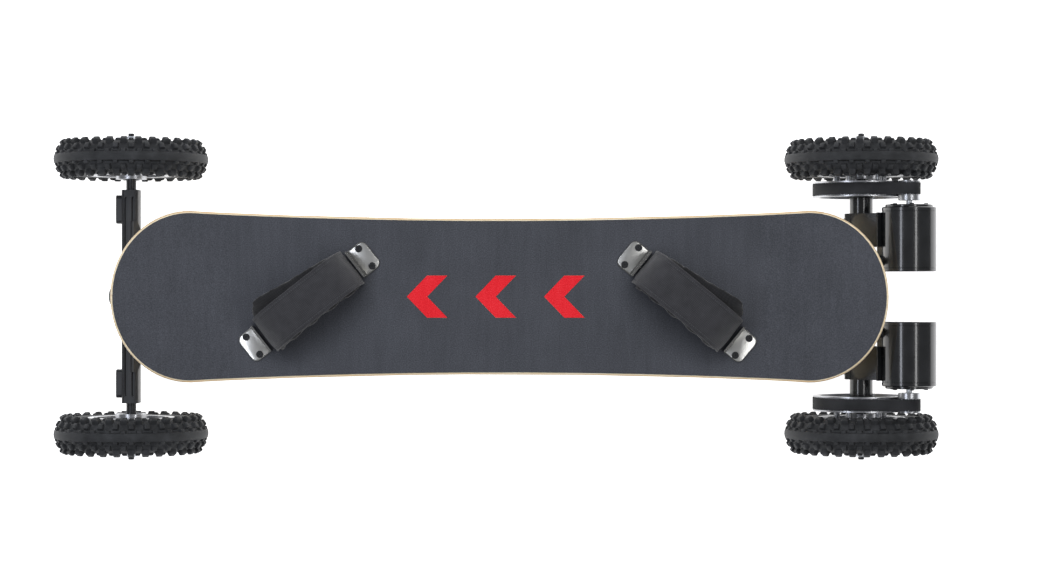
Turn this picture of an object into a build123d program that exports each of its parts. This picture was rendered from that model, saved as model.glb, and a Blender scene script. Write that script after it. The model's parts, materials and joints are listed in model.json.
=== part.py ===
"""Electric skateboard with foot bindings, air tyres and two belt-driven rear wheels.

Millimetres. +Z is up, -X is the front, +Y is the rider's right when facing forward.
The origin is on the ground, midway between the axles and on the board's centre line.
"""
import math
import os

from build123d import *

os.makedirs("parts", exist_ok=True)

# ---------------------------------------------------------------- driving dimensions
WHEELBASE = 953.5
TYRE_R = 100.0           # outer radius of the 200 mm tyre
TYRE_SECTION_R = 25.0    # radius of the tyre's round section
WHEEL_Y = 179.0          # wheel centre plane, from the board's centre line
AXLE_X = WHEELBASE / 2
AXLE_Z = TYRE_R

DECK_FRONT, DECK_REAR = -488.0, 498.0
DECK_T = 12.0
DECK_Z = 146.0           # underside of the flat middle
WAIST_HALF = 100.0       # half width at the middle
SHOULDER_HALF = 110.0    # half width where the rounded ends begin
END_LENGTH = 98.0        # length of each elliptical end
KICK_X = 335.0           # where the flat middle ends
KICK_R = 180.0           # bend radius, at the underside
KICK = math.radians(18)  # slope of both ends
GRIP_T = 1.0
GRIP_INSET = 3.0

STEER = math.radians(40)     # slope of the steering axis, rising outwards
AXLE_OFFSET = 16.0           # axle below the steering axis
RING_T = -34.0               # ring centre along the steering axis
RING_H, RING_R = 10.0, 17.0  # hanger ring
TOP_BUSHING, LOW_BUSHING = 15.0, 13.0
BUSHING_R = 13.0
WASHER_T = 2.0
KINGPIN_R = 5.0
RISER_T, PLATE_T = 6.0, 8.0
PLATE_X = 438.0              # centre of the baseplate, under the slope
BOLT_LONG, BOLT_WIDE = 63.5, 41.3
HANGER_END = 139.0

AXLE_R = 6.5                 # axle bar inside the hanger
STUB_R = 4.97                # axle stub inside the wheel bearings
THREAD_R = 4.0
SHOULDER_Y = 156.9           # where the axle bar steps down to the stub
STUB_END, AXLE_END = 201.0, 213.0

BEARING_R, BEARING_BORE, BEARING_W = 15.0, 5.0, 9.0
BEARING_IN = 13.0            # inner face of each bearing, from the wheel's centre
HUB_HALF, HUB_R = 26.0, 20.0
RIM_R, FLANGE_R = 47.0, 57.0
RIM_BOLT_CIRCLE_R, RIM_BOLTS = 32.0, 5
WINDOW_TURN = 54.0           # one window sits straight above the axle, for the valve
BOLT_TURN = WINDOW_TURN - 180 / RIM_BOLTS

PITCH = 5.0                  # belt tooth pitch
WHEEL_TEETH, MOTOR_TEETH = 78, 17
PITCH_DROP = 0.57            # belt pitch line above the tooth tips
BELT_Y, BELT_W = 131.0, 16.0
BELT_GAP, BELT_T = 0.3, 2.0
MOTOR_DX, MOTOR_DZ = 53.9, 56.5   # motor axis from the axle: suits a 425 mm belt
MOTOR_R, MOTOR_IN, MOTOR_OUT = 35.0, 32.0, 118.0
MOTOR_CAP_R = 30.5
SHAFT_R = 4.0
MOUNT_IN, MOUNT_OUT, CRADLE_IN = 64.0, 108.0, 36.0

BOX_L, BOX_W, BOX_H = 520.0, 170.0, 34.0
BOX_WALL, BOX_FLANGE, FLANGE_T, GASKET_T = 3.0, 9.0, 3.0, 2.0
CELL_R, CELL_L, CELL_PITCH, CELLS_LONG = 9.2, 65.0, 19.0, 20
SOCKET_X, BUTTON_X = -205.0, -165.0

BINDINGS = ((-239.0, -6.2, 38.2), (245.0, -6.2, -39.3))   # centre X, Y and turn of each foot
STRAP_HALF_W, STRAP_T, STRAP_BASE = 26.0, 3.4, 74.6
STRAP_TOP = 66.0
PAD_HALF_W, PAD_T = 31.0, 8.0
BRACKET_L, BRACKET_W, BRACKET_T, BRACKET_H = 28.0, 40.0, 2.5, 24.0

# ---------------------------------------------------------------- derived places
DECK_TOP = DECK_Z + DECK_T
FLOOR_Z = DECK_TOP + GRIP_T          # what the shoes stand on
WHEEL_PULLEY_R = WHEEL_TEETH * PITCH / (2 * math.pi) - PITCH_DROP
MOTOR_PULLEY_R = MOTOR_TEETH * PITCH / (2 * math.pi) - PITCH_DROP
MOTOR_X, MOTOR_Z = AXLE_X + MOTOR_DX, AXLE_Z + MOTOR_DZ
BOX_TOP = DECK_Z - GASKET_T

slope_x = (math.cos(KICK), 0, math.sin(KICK))
slope_up = (-math.sin(KICK), 0, math.cos(KICK))
bend_end_x = KICK_X + KICK_R * math.sin(KICK)
bend_end_z = DECK_Z + KICK_R * (1 - math.cos(KICK))
plate_z = bend_end_z + (PLATE_X - bend_end_x) * math.tan(KICK)
# rear truck's seat: local z is 0 at the deck's sloping underside
seat = Plane(origin=(PLATE_X, 0, plate_z), x_dir=slope_x, z_dir=slope_up)

steer_dir = (math.cos(STEER), 0, math.sin(STEER))
steer_up = (-math.sin(STEER), 0, math.cos(STEER))
steer_origin = (AXLE_X + AXLE_OFFSET * steer_up[0], 0, AXLE_Z + AXLE_OFFSET * steer_up[2])
# side view of the rear truck: local x along the steering axis, local y towards the deck
truck_side = Plane(origin=steer_origin, x_dir=steer_dir, z_dir=(0, -1, 0))
# the same truck seen along the kingpin: local y is +Y
truck_plan = Plane(origin=steer_origin, x_dir=steer_dir, z_dir=steer_up)
# along the steering axis, outwards
pivot_line = Plane(origin=steer_origin, x_dir=(0, 1, 0), z_dir=steer_dir)


def save(piece, name):
    """Label one finished piece and write it to its own file."""
    piece.label = name
    export_step(piece, f"parts/{name}.step")


def across(y, x=0.0, z=0.0):
    """Plane at y whose normal is +Y, for shapes turned or drilled across the board."""
    return Plane(origin=(x, y, z), x_dir=(1, 0, 0), z_dir=(0, 1, 0))


# ================================================================ deck and grip
def side_outline(low, high):
    """Side view of a layer of the board, between two heights over its underside."""
    ends = []
    for height in (low, high):
        radius = KICK_R - height
        for side in (-1, 1):
            points = []
            for angle in (0, KICK / 2, KICK):
                points.append((side * (KICK_X + radius * math.sin(angle)),
                               DECK_Z + KICK_R - radius * math.cos(angle)))
            ThreePointArc(*points)
            reach = 200.0
            tip = (points[2][0] + side * reach * math.cos(KICK), points[2][1] + reach * math.sin(KICK))
            Line(points[2], tip)
            ends.append((points[0], tip))
        Line(ends[-2][0], ends[-1][0])
    Line(ends[0][1], ends[2][1])
    Line(ends[1][1], ends[3][1])


def plan_outline(inset):
    """Plan of the board: waisted sides as one arc each, elliptical ends."""
    front, rear = DECK_FRONT + END_LENGTH, DECK_REAR - END_LENGTH
    waist, shoulder = WAIST_HALF - inset, SHOULDER_HALF - inset
    ThreePointArc((front, shoulder), (0, waist), (rear, shoulder))
    ThreePointArc((front, -shoulder), (0, -waist), (rear, -shoulder))
    EllipticalCenterArc((rear, 0), END_LENGTH - inset, shoulder, start_angle=-90, arc_size=180)
    EllipticalCenterArc((front, 0), END_LENGTH - inset, shoulder, start_angle=90, arc_size=180)


def chevrons(gap):
    """Three arrow marks that point to the front, with a gap all round."""
    half_w, sweep, stroke, spacing = 27.0, 26.0, 26.0, 88.0
    with Locations(*[(n * spacing, 0) for n in (-1, 0, 1)]):
        Polygon((-sweep - gap, 0), (0, -half_w - gap), (stroke + 2 * gap, -half_w - gap),
                (stroke - sweep + gap, 0), (stroke + 2 * gap, half_w + gap), (0, half_w + gap),
                align=None)


def bracket_screw_places():
    """The eight binding screws, in plan."""
    places = []
    for x, y, turn in BINDINGS:
        for side in (-1, 1):
            for across_strap in (-14, 14):
                spot = Vector(side * (STRAP_BASE + 17), across_strap).rotate(Axis.Z, turn)
                places.append((x + spot.X, y + spot.Y))
    return places


def box_screw_places():
    """Fourteen screws round the battery box's flange."""
    y = BOX_W / 2 + BOX_FLANGE / 2
    places = [(x, side * y) for side in (-1, 1) for x in (-235, -150, -60, 60, 150, 235)]
    return places + [(side * (BOX_L / 2 + BOX_FLANGE / 2), 0) for side in (-1, 1)]


with BuildPart() as deck:
    with BuildSketch(Plane.XZ):
        with BuildLine():
            side_outline(0, DECK_T)
        make_face()
    extrude(amount=150, both=True)
    with BuildSketch():
        with BuildLine():
            plan_outline(0)
        make_face()
    extrude(amount=300, mode=Mode.INTERSECT)
    # truck bolts: clearance holes, and seats for their flat heads
    for end in (1, -1):
        deck_seat = seat if end == 1 else Plane(origin=(-PLATE_X, 0, plate_z),
                                                x_dir=(slope_x[0], 0, -slope_x[2]),
                                                z_dir=(-slope_up[0], 0, slope_up[2]))
        for radius, low, high in ((2.6, -1, DECK_T + 1), (5.0, DECK_T - 3, DECK_T + 1)):
            with BuildSketch(deck_seat.offset(low)):
                with GridLocations(BOLT_LONG, BOLT_WIDE, 2, 2):
                    Circle(radius)
            extrude(amount=high - low, mode=Mode.SUBTRACT)
    with BuildSketch(Plane.XY.offset(DECK_TOP - 9)):
        with Locations(*bracket_screw_places()):
            Circle(2.05)
    extrude(amount=10, mode=Mode.SUBTRACT)
    with BuildSketch(Plane.XY.offset(DECK_Z - 1)):
        with Locations(*box_screw_places()):
            Circle(2.05)
    extrude(amount=9, mode=Mode.SUBTRACT)
save(deck.part, "deck")

with BuildPart() as grip_tape:
    with BuildSketch(Plane.XZ):
        with BuildLine():
            side_outline(DECK_T, DECK_T + GRIP_T)
        make_face()
    extrude(amount=150, both=True)
    with BuildSketch():
        with BuildLine():
            plan_outline(GRIP_INSET)
        make_face()
    extrude(amount=300, mode=Mode.INTERSECT)
    with BuildSketch(Plane.XY.offset(DECK_TOP - 1)):
        chevrons(0.3)
        with Locations(*bracket_screw_places()):
            Circle(2.3)
    extrude(amount=3, mode=Mode.SUBTRACT)
save(grip_tape.part, "grip_tape")

with BuildPart() as direction_marks:
    with BuildSketch(Plane.XY.offset(DECK_TOP)):
        chevrons(0)
    extrude(amount=GRIP_T)
save(direction_marks.part, "direction_marks")


# ================================================================ foot bindings
def foot_planes(x, y, turn):
    """Side view plane of a binding, and its plan plane, both on top of the grip."""
    angle = math.radians(turn)
    along = (math.cos(angle), math.sin(angle), 0)
    side = Plane(origin=(x, y, FLOOR_Z), x_dir=along, z_dir=(along[1], -along[0], 0))
    plan = Plane(origin=(x, y, FLOOR_Z), x_dir=along, z_dir=(0, 0, 1))
    return side, plan


def arch_band(plane, inset, thickness, start):
    """Side view of a strap that arches over the foot, cut off below its start height."""
    foot = -30.0
    with BuildSketch(plane) as band:
        with BuildLine():
            over = FilletPolyline((-STRAP_BASE, foot), (-STRAP_BASE, 20), (-63, 58), (0, STRAP_TOP),
                                  (63, 58), (STRAP_BASE, 20), (STRAP_BASE, foot),
                                  radius=[50, 24, 160, 24, 50])
            Line(over @ 1, over @ 0)
        make_face()
        if inset:
            offset(amount=-inset, mode=Mode.REPLACE)
        offset(amount=-thickness, mode=Mode.SUBTRACT)
        with Locations((0, foot)):
            Rectangle(4 * STRAP_BASE, 2 * (start - foot), mode=Mode.SUBTRACT)
    return band.sketch


with BuildPart() as binding_brackets:
    for x, y, turn in BINDINGS:
        side_view, plan_view = foot_planes(x, y, turn)
        base_middle = STRAP_BASE + 0.4 + BRACKET_L / 2
        with BuildSketch(plan_view):
            with Locations((base_middle, 0), (-base_middle, 0)):
                RectangleRounded(BRACKET_L, BRACKET_W, 8)
            for side in (-1, 1):
                with Locations((side * (base_middle - BRACKET_L / 4), 0)):
                    Rectangle(BRACKET_L / 2, BRACKET_W)
                # two slots, so that the strap can be set in or out
                with Locations(*[(side * (STRAP_BASE + 17), across_y) for across_y in (-14, 14)]):
                    SlotOverall(9, 4.6, mode=Mode.SUBTRACT)
        extrude(amount=BRACKET_T)
        for side in (-1, 1):
            flange_x = side * (STRAP_BASE + 0.4 + BRACKET_T / 2)
            with BuildSketch(plan_view):
                with Locations((flange_x, 0)):
                    Rectangle(BRACKET_T, BRACKET_W)
            extrude(amount=BRACKET_H)
save(binding_brackets.part, "binding_brackets")

for name, (x, y, turn) in zip(("front", "rear"), BINDINGS):
    side_view, plan_view = foot_planes(x, y, turn)
    with BuildPart() as strap:
        extrude(arch_band(side_view, 0, STRAP_T, 4), amount=STRAP_HALF_W, both=True)
    save(strap.part, f"{name}_binding_strap")
    with BuildPart() as pad:
        extrude(arch_band(side_view, STRAP_T + 0.3, PAD_T, 12), amount=PAD_HALF_W, both=True)
    save(pad.part, f"{name}_binding_pad")

with BuildPart() as binding_screws:
    with BuildSketch(Plane.XY.offset(DECK_TOP - 8)):
        with Locations(*bracket_screw_places()):
            Circle(2.0)
    extrude(amount=8 + GRIP_T + BRACKET_T)
    with BuildSketch(Plane.XY.offset(FLOOR_Z + BRACKET_T)):
        with Locations(*bracket_screw_places()):
            Circle(4.4)
            RegularPolygon(1.7, 6, mode=Mode.SUBTRACT)
    extrude(amount=2.6)
save(binding_screws.part, "binding_screws")

# ================================================================ battery box and electronics
with BuildPart() as battery_box:
    with BuildSketch(Plane.XY.offset(BOX_TOP - BOX_H)):
        RectangleRounded(BOX_L, BOX_W, 22)
    extrude(amount=BOX_H)
    fillet(battery_box.faces().sort_by(Axis.Z)[0].edges(), 8)
    offset(amount=-BOX_WALL, openings=battery_box.faces().sort_by(Axis.Z)[-1], kind=Kind.INTERSECTION)
    with BuildSketch(Plane.XY.offset(BOX_TOP - FLANGE_T)):
        RectangleRounded(BOX_L + 2 * BOX_FLANGE, BOX_W + 2 * BOX_FLANGE, 22 + BOX_FLANGE)
        RectangleRounded(BOX_L - 1, BOX_W - 1, 22, mode=Mode.SUBTRACT)
        with Locations(*box_screw_places()):
            Circle(2.2, mode=Mode.SUBTRACT)
    extrude(amount=FLANGE_T)
    # stiffening ribs along the underside
    with BuildSketch(Plane.XY.offset(BOX_TOP - BOX_H)):
        with Locations(*[(0, rib_y) for rib_y in (-45, -15, 15, 45)]):
            SlotOverall(BOX_L - 90, 6)
    extrude(amount=-1.6)
    # openings in the side wall for the charging socket and the power button
    with BuildSketch(across(-BOX_W / 2 - 1, z=BOX_TOP - BOX_H / 2)):
        with Locations((SOCKET_X, 0), (BUTTON_X, 0)):
            Circle(8.05)
    extrude(amount=BOX_WALL + 2, mode=Mode.SUBTRACT)
    # two cable holes in the rear wall
    with BuildSketch(Plane.YZ.offset(BOX_L / 2 - BOX_WALL - 1)):
        with Locations((-36, BOX_TOP - 17), (36, BOX_TOP - 17)):
            Circle(4.6)
    extrude(amount=BOX_WALL + 2, mode=Mode.SUBTRACT)
save(battery_box.part, "battery_box")

with BuildPart() as box_gasket:
    with BuildSketch(Plane.XY.offset(BOX_TOP)):
        RectangleRounded(BOX_L + 2 * BOX_FLANGE - 2, BOX_W + 2 * BOX_FLANGE - 2, 21 + BOX_FLANGE)
        RectangleRounded(BOX_L - 2 * BOX_WALL, BOX_W - 2 * BOX_WALL, 20, mode=Mode.SUBTRACT)
        with Locations(*box_screw_places()):
            Circle(2.2, mode=Mode.SUBTRACT)
    extrude(amount=GASKET_T)
save(box_gasket.part, "box_gasket")

with BuildPart() as box_screws:
    with BuildSketch(Plane.XY.offset(BOX_TOP - FLANGE_T)):
        with Locations(*box_screw_places()):
            Circle(2.0)
    extrude(amount=FLANGE_T + GASKET_T + 7)
    with BuildSketch(Plane.XY.offset(BOX_TOP - FLANGE_T)):
        with Locations(*box_screw_places()):
            Circle(3.8)
            RegularPolygon(1.5, 6, mode=Mode.SUBTRACT)
    extrude(amount=-2.4)
save(box_screws.part, "box_screws")

cell_z = BOX_TOP - BOX_H + BOX_WALL + CELL_R + 0.5
first_cell_x = -BOX_L / 2 + BOX_WALL + 3 + CELL_R
pack_middle_x = first_cell_x + CELL_PITCH * (CELLS_LONG - 1) / 2
with BuildPart() as battery_cells:
    for low_y in (-CELL_L - 1, 1):
        with BuildSketch(across(low_y, z=cell_z)):
            for n in range(CELLS_LONG):
                with Locations((first_cell_x + n * CELL_PITCH, 0)):
                    Circle(CELL_R)
        extrude(amount=CELL_L)
save(battery_cells.part, "battery_cells")

with BuildPart() as battery_board:
    board_z = cell_z + CELL_R + 0.5
    with BuildSketch(Plane.XY.offset(board_z)):
        with Locations((pack_middle_x, 0)):
            RectangleRounded(210, 62, 3)
    extrude(amount=1.6)
    with BuildSketch(Plane.XY.offset(board_z + 1.6)):
        with Locations((pack_middle_x, 0)):
            with GridLocations(24, 30, 8, 2):
                Rectangle(9, 7)
    extrude(amount=2.2)
save(battery_board.part, "battery_board")

controller_x = BOX_L / 2 - BOX_WALL - 60
with BuildPart() as speed_controller:
    with BuildSketch(Plane.XY.offset(BOX_TOP - BOX_H + BOX_WALL)):
        with Locations((controller_x, 0)):
            RectangleRounded(88, 112, 4)
    extrude(amount=16)
    with BuildSketch(Plane.XY.offset(BOX_TOP - BOX_H + BOX_WALL + 16)):
        with Locations((controller_x, 0)):
            with GridLocations(8, 0, 11, 1):
                Rectangle(2, 108)
    extrude(amount=6)
save(speed_controller.part, "speed_controller")

side_z = BOX_TOP - BOX_H / 2
side_y = -BOX_W / 2
cap_hinge_z = side_z + 11.5
cap_y = side_y - 2.0
with BuildPart() as charge_cap:
    # soft lid over the socket, with a knuckle along its upper edge and a lip to lift it by
    with BuildSketch(across(cap_y, SOCKET_X, side_z - 1)):
        RectangleRounded(20, 18, 5)
    extrude(amount=-2.2)
    with BuildSketch(Plane.YZ.offset(SOCKET_X - 6)):
        with Locations((cap_y - 1.1, cap_hinge_z)):
            Circle(1.6)
        with Locations((cap_y - 1.1, cap_hinge_z - 2.3)):
            Rectangle(2.2, 4.4)
        with Locations((cap_y - 1.1, cap_hinge_z)):
            Circle(0.85, mode=Mode.SUBTRACT)
    extrude(amount=12)
    with BuildSketch(across(cap_y - 2.2, SOCKET_X, side_z - 8.4)):
        Rectangle(8, 2.4)
    extrude(amount=-1.6)
save(charge_cap.part, "charge_cap")

with BuildPart() as charge_socket:
    with BuildSketch(across(side_y + 10, SOCKET_X, side_z)):
        Circle(7.9)
    extrude(amount=-10)
    with BuildSketch(across(side_y, SOCKET_X, side_z)):
        Circle(10)
    extrude(amount=-1.6)
    with BuildSketch(across(side_y - 1.6, SOCKET_X, side_z)):
        Circle(4.0)
    extrude(amount=10, mode=Mode.SUBTRACT)
    # wire pin and its two ears, for the soft lid
    with BuildSketch(Plane.YZ.offset(SOCKET_X - 9)):
        with Locations((cap_y - 1.1, cap_hinge_z)):
            Circle(0.8)
    extrude(amount=18)
    for low_x in (SOCKET_X - 9, SOCKET_X + 6.6):
        with BuildSketch(Plane.YZ.offset(low_x)):
            with Locations(((cap_y - 3.0 + side_y) / 2, cap_hinge_z)):
                Rectangle(side_y - cap_y + 3.0, 3.4)
            with Locations((side_y - 0.8, cap_hinge_z - 3)):
                Rectangle(1.6, 6)
        extrude(amount=2.4)
save(charge_socket.part, "charge_socket")

with BuildPart() as button_bezel:
    with BuildSketch(across(side_y + 6, BUTTON_X, side_z)):
        Circle(7.9)
    extrude(amount=-6)
    with BuildSketch(across(side_y, BUTTON_X, side_z)):
        Circle(11)
    extrude(amount=-2.5)
    with BuildSketch(across(side_y - 2.5, BUTTON_X, side_z)):
        Circle(6.0)
    extrude(amount=7, mode=Mode.SUBTRACT)
save(button_bezel.part, "button_bezel")

with BuildPart() as power_button:
    with BuildSketch(across(side_y + 2.5, BUTTON_X, side_z)):
        Circle(5.95)
    extrude(amount=-6.2)
    fillet(power_button.faces().sort_by(Axis.Y)[0].edges(), 0.8)
save(power_button.part, "power_button")

# ================================================================ trucks, built for the rear
ring_half = RING_H / 2
top_washer = ring_half + TOP_BUSHING
low_washer = -ring_half - LOW_BUSHING
boss_face = top_washer + WASHER_T
PIVOT_IN, PIVOT_DEPTH = 20.0, 12.0
NOSE_R = 6.25


def hanger_core(web_half):
    """Web, ring and pivot nose that carry an axle beam."""
    with BuildPart() as core:
        with BuildSketch(truck_plan.offset(-ring_half)):
            Polygon((RING_T, -RING_R), (2, -web_half), (8, -web_half), (8, web_half), (2, web_half),
                    (RING_T, RING_R), align=None)
        extrude(amount=8)
        with BuildSketch(truck_plan.offset(-ring_half)):
            with Locations((RING_T, 0)):
                Circle(RING_R)
        extrude(amount=RING_H)
        with BuildSketch(truck_side):
            Polygon((RING_T + 14, -5), (0, -14), (12, -12), (15, -5), (15, 6), (-8, 6),
                    (RING_T + 14, 5), align=None)
        extrude(amount=7, both=True)
        with BuildSketch(pivot_line):
            Circle(NOSE_R + 3)
        extrude(amount=PIVOT_IN - 3)
        with BuildSketch(pivot_line):
            Circle(NOSE_R)
        extrude(amount=PIVOT_IN + 9)
    return core.part


def hanger_bores():
    """The kingpin's hole through the ring and the axle's bore along the beam, to be cut out."""
    with BuildPart() as bores:
        with BuildSketch(truck_plan.offset(-40)):
            with Locations((RING_T, 0)):
                Circle(7.5)
        extrude(amount=80)
        with BuildSketch(across(-160, AXLE_X, AXLE_Z)):
            Circle(AXLE_R + 0.02)
        extrude(amount=320)
    return bores.part


with BuildPart() as rear_hanger:
    with BuildSketch(across(-HANGER_END, AXLE_X, AXLE_Z)):
        Circle(15)
    extrude(amount=2 * HANGER_END)
    add(hanger_core(58))
    add(hanger_bores(), mode=Mode.SUBTRACT)
save(rear_hanger.part, "rear_hanger")

BEAM_W, BEAM_H = 22.2, 28.0
PAD_REACH, PAD_Y, PAD_LONG = 18.3, 113.5, 37.0
PAD_HOLES = 20.0
with BuildPart() as front_hanger_as_rear:
    with BuildSketch(across(-HANGER_END, AXLE_X, AXLE_Z)):
        RectangleRounded(BEAM_W, BEAM_H, 5)
    extrude(amount=2 * HANGER_END)
    add(hanger_core(98))
    # flat pads on the outboard side, drilled for motor mounts
    with BuildSketch(Plane.YZ.offset(AXLE_X)):
        with Locations((-PAD_Y, AXLE_Z), (PAD_Y, AXLE_Z)):
            RectangleRounded(PAD_LONG, 22, 5)
    extrude(amount=PAD_REACH)
    # two long grooves in the top, as on a cast channel beam
    with BuildSketch(Plane.XY.offset(AXLE_Z + BEAM_H / 2 - 3.5)):
        with Locations(*[(AXLE_X + dx, dy) for dx in (-4.6, 4.6) for dy in (-82, 82)]):
            SlotOverall(96, 4, rotation=90)
    extrude(amount=4, mode=Mode.SUBTRACT)
    with BuildSketch(Plane.YZ.offset(AXLE_X + PAD_REACH - 8)):
        with Locations(*[(side * PAD_Y + dy, AXLE_Z) for side in (-1, 1)
                         for dy in (-PAD_HOLES / 2, PAD_HOLES / 2)]):
            Circle(2.5)
    extrude(amount=9, mode=Mode.SUBTRACT)
    add(hanger_bores(), mode=Mode.SUBTRACT)

with BuildPart() as rear_baseplate:
    with BuildSketch(seat.offset(-RISER_T - PLATE_T)):
        RectangleRounded(92, 58, 8)
    extrude(amount=PLATE_T)
    # wedge between the plate, the kingpin boss and the pivot housing
    with BuildSketch(Plane.XZ):
        def local(t, s):
            """World X and Z of a point t along and s above the steering axis."""
            return (steer_origin[0] + t * steer_dir[0] + s * steer_up[0],
                    steer_origin[2] + t * steer_dir[2] + s * steer_up[2])
        Polygon(local(RING_T - 13, boss_face), local(RING_T + 13, boss_face), local(-7, 17),
                local(PIVOT_IN + 1, 17), local(PIVOT_IN + 14, 13), (477, plate_z), (398, plate_z - 26),
                align=None)
    extrude(amount=12, both=True)
    with BuildSketch(seat.offset(-RISER_T)):
        Rectangle(200, 100)
    extrude(amount=60, mode=Mode.SUBTRACT)
    with BuildSketch(truck_plan.offset(boss_face)):
        with Locations((RING_T, 0)):
            Circle(14)
    extrude(amount=36)
    with BuildSketch(pivot_line.offset(PIVOT_IN)):
        Circle(14)
    extrude(amount=PIVOT_DEPTH + 3)
    with BuildSketch(pivot_line.offset(PIVOT_IN - 6)):
        Circle(10)
    extrude(amount=PIVOT_DEPTH + 6, mode=Mode.SUBTRACT)
    with BuildSketch(truck_plan.offset(boss_face - 1)):
        with Locations((RING_T, 0)):
            Circle(KINGPIN_R + 0.05)
    extrude(amount=30, mode=Mode.SUBTRACT)
    with BuildSketch(seat.offset(-RISER_T - PLATE_T - 1)):
        with GridLocations(BOLT_LONG, BOLT_WIDE, 2, 2):
            Circle(2.6)
    extrude(amount=PLATE_T + 2, mode=Mode.SUBTRACT)
save(rear_baseplate.part, "rear_baseplate")

with BuildPart() as riser_pads:
    with BuildSketch(seat.offset(-RISER_T)):
        RectangleRounded(96, 60, 8)
        with GridLocations(BOLT_LONG, BOLT_WIDE, 2, 2):
            Circle(2.7, mode=Mode.SUBTRACT)
    extrude(amount=RISER_T)
    mirror(about=Plane.YZ)
save(riser_pads.part, "riser_pads")

with BuildPart() as kingpins:
    # two long bolts, each with the cup washers above and below its bushings
    with BuildSketch(truck_plan.offset(low_washer - WASHER_T)):
        with Locations((RING_T, 0)):
            Circle(KINGPIN_R)
    extrude(amount=boss_face + 26 - low_washer)
    with BuildSketch(truck_plan.offset(low_washer - WASHER_T)):
        with Locations((RING_T, 0)):
            RegularPolygon(8.5, 6, major_radius=False)
    extrude(amount=-7)
    for base in (low_washer - WASHER_T, top_washer):
        with BuildSketch(truck_plan.offset(base)):
            with Locations((RING_T, 0)):
                Circle(BUSHING_R)
                Circle(KINGPIN_R + 0.3, mode=Mode.SUBTRACT)
        extrude(amount=WASHER_T, clean=False)
    mirror(about=Plane.YZ)
save(kingpins.part, "kingpins")

with BuildPart() as bushings:
    for base, height in ((ring_half, TOP_BUSHING), (low_washer, LOW_BUSHING)):
        with BuildSketch(truck_plan.offset(base)):
            with Locations((RING_T, 0)):
                Circle(BUSHING_R)
                Circle(KINGPIN_R + 0.3, mode=Mode.SUBTRACT)
        extrude(amount=height)
    mirror(about=Plane.YZ)
save(bushings.part, "bushings")

with BuildPart() as pivot_cups:
    with BuildSketch(pivot_line.offset(PIVOT_IN)):
        Circle(9.95)
    extrude(amount=PIVOT_DEPTH)
    with BuildSketch(pivot_line.offset(PIVOT_IN)):
        Circle(NOSE_R + 0.05)
    extrude(amount=9.5, mode=Mode.SUBTRACT)
    mirror(about=Plane.YZ)
save(pivot_cups.part, "pivot_cups")

with BuildPart() as truck_bolts:
    # flat-head bolts from above, each with its lock nut below the plate
    bolt_low = -RISER_T - PLATE_T - 8
    with BuildSketch(seat.offset(bolt_low)):
        with GridLocations(BOLT_LONG, BOLT_WIDE, 2, 2):
            Circle(2.5)
    extrude(amount=DECK_T - bolt_low)
    with BuildSketch(seat.offset(DECK_T)):
        with GridLocations(BOLT_LONG, BOLT_WIDE, 2, 2):
            Circle(4.9)
    extrude(amount=-2.9)
    with BuildSketch(seat.offset(-RISER_T - PLATE_T)):
        with GridLocations(BOLT_LONG, BOLT_WIDE, 2, 2):
            RegularPolygon(4.0, 6, major_radius=False)
            Circle(2.55, mode=Mode.SUBTRACT)
    extrude(amount=-5, clean=False)
    mirror(about=Plane.YZ)
save(truck_bolts.part, "truck_bolts")

with BuildPart() as front_hanger:
    add(mirror(front_hanger_as_rear.part, about=Plane.YZ, mode=Mode.PRIVATE))
save(front_hanger.part, "front_hanger")

with BuildPart() as front_baseplate:
    add(mirror(rear_baseplate.part, about=Plane.YZ, mode=Mode.PRIVATE))
save(front_baseplate.part, "front_baseplate")

for name, side in (("front", -1), ("rear", 1)):
    with BuildPart() as axle:
        for radius, reach in ((AXLE_R, SHOULDER_Y), (STUB_R, STUB_END), (THREAD_R, AXLE_END)):
            with BuildSketch(across(-reach, side * AXLE_X, AXLE_Z)):
                Circle(radius)
            extrude(amount=2 * reach)
        chamfer(axle.faces().sort_by(Axis.Y)[-1].edges(), 0.8)
        chamfer(axle.faces().sort_by(Axis.Y)[0].edges(), 0.8)
    save(axle.part, f"{name}_axle")
    with BuildPart() as nuts:
        with BuildSketch(across(STUB_END + 0.1, side * AXLE_X, AXLE_Z)):
            RegularPolygon(6.5, 6, major_radius=False)
            Circle(THREAD_R + 0.05, mode=Mode.SUBTRACT)
        extrude(amount=8)
        mirror(about=Plane.XZ)
    save(nuts.part, f"{name}_axle_nuts")


# ================================================================ wheels, built for +Y
def section():
    """Plane for a wheel's half section: local x along the axle, local y the radius."""
    return Plane.YZ


with BuildPart() as tyre:
    middle_r = TYRE_R - TYRE_SECTION_R
    with BuildSketch(section()):
        with Locations((0, middle_r)):
            Circle(TYRE_SECTION_R)
            Circle(TYRE_SECTION_R - 4.5, mode=Mode.SUBTRACT)
        with Locations((0, middle_r - TYRE_SECTION_R)):
            Rectangle(24, 14, mode=Mode.SUBTRACT)
        # beads that grip the rim
        with Locations((-15, 53), (15, 53)):
            Rectangle(6, 11)
    revolve(axis=Axis.Y)

with BuildPart() as tube:
    with BuildSketch(section()):
        with Locations((0, middle_r)):
            Circle(TYRE_SECTION_R - 4.8)
            Circle(TYRE_SECTION_R - 6.3, mode=Mode.SUBTRACT)
    revolve(axis=Axis.Y)
    # valve stem, ending in one of the rim's windows
    with BuildSketch(Plane.XY.offset(29)):
        Circle(3)
    extrude(amount=middle_r - TYRE_SECTION_R + 5.2 - 29)

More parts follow.
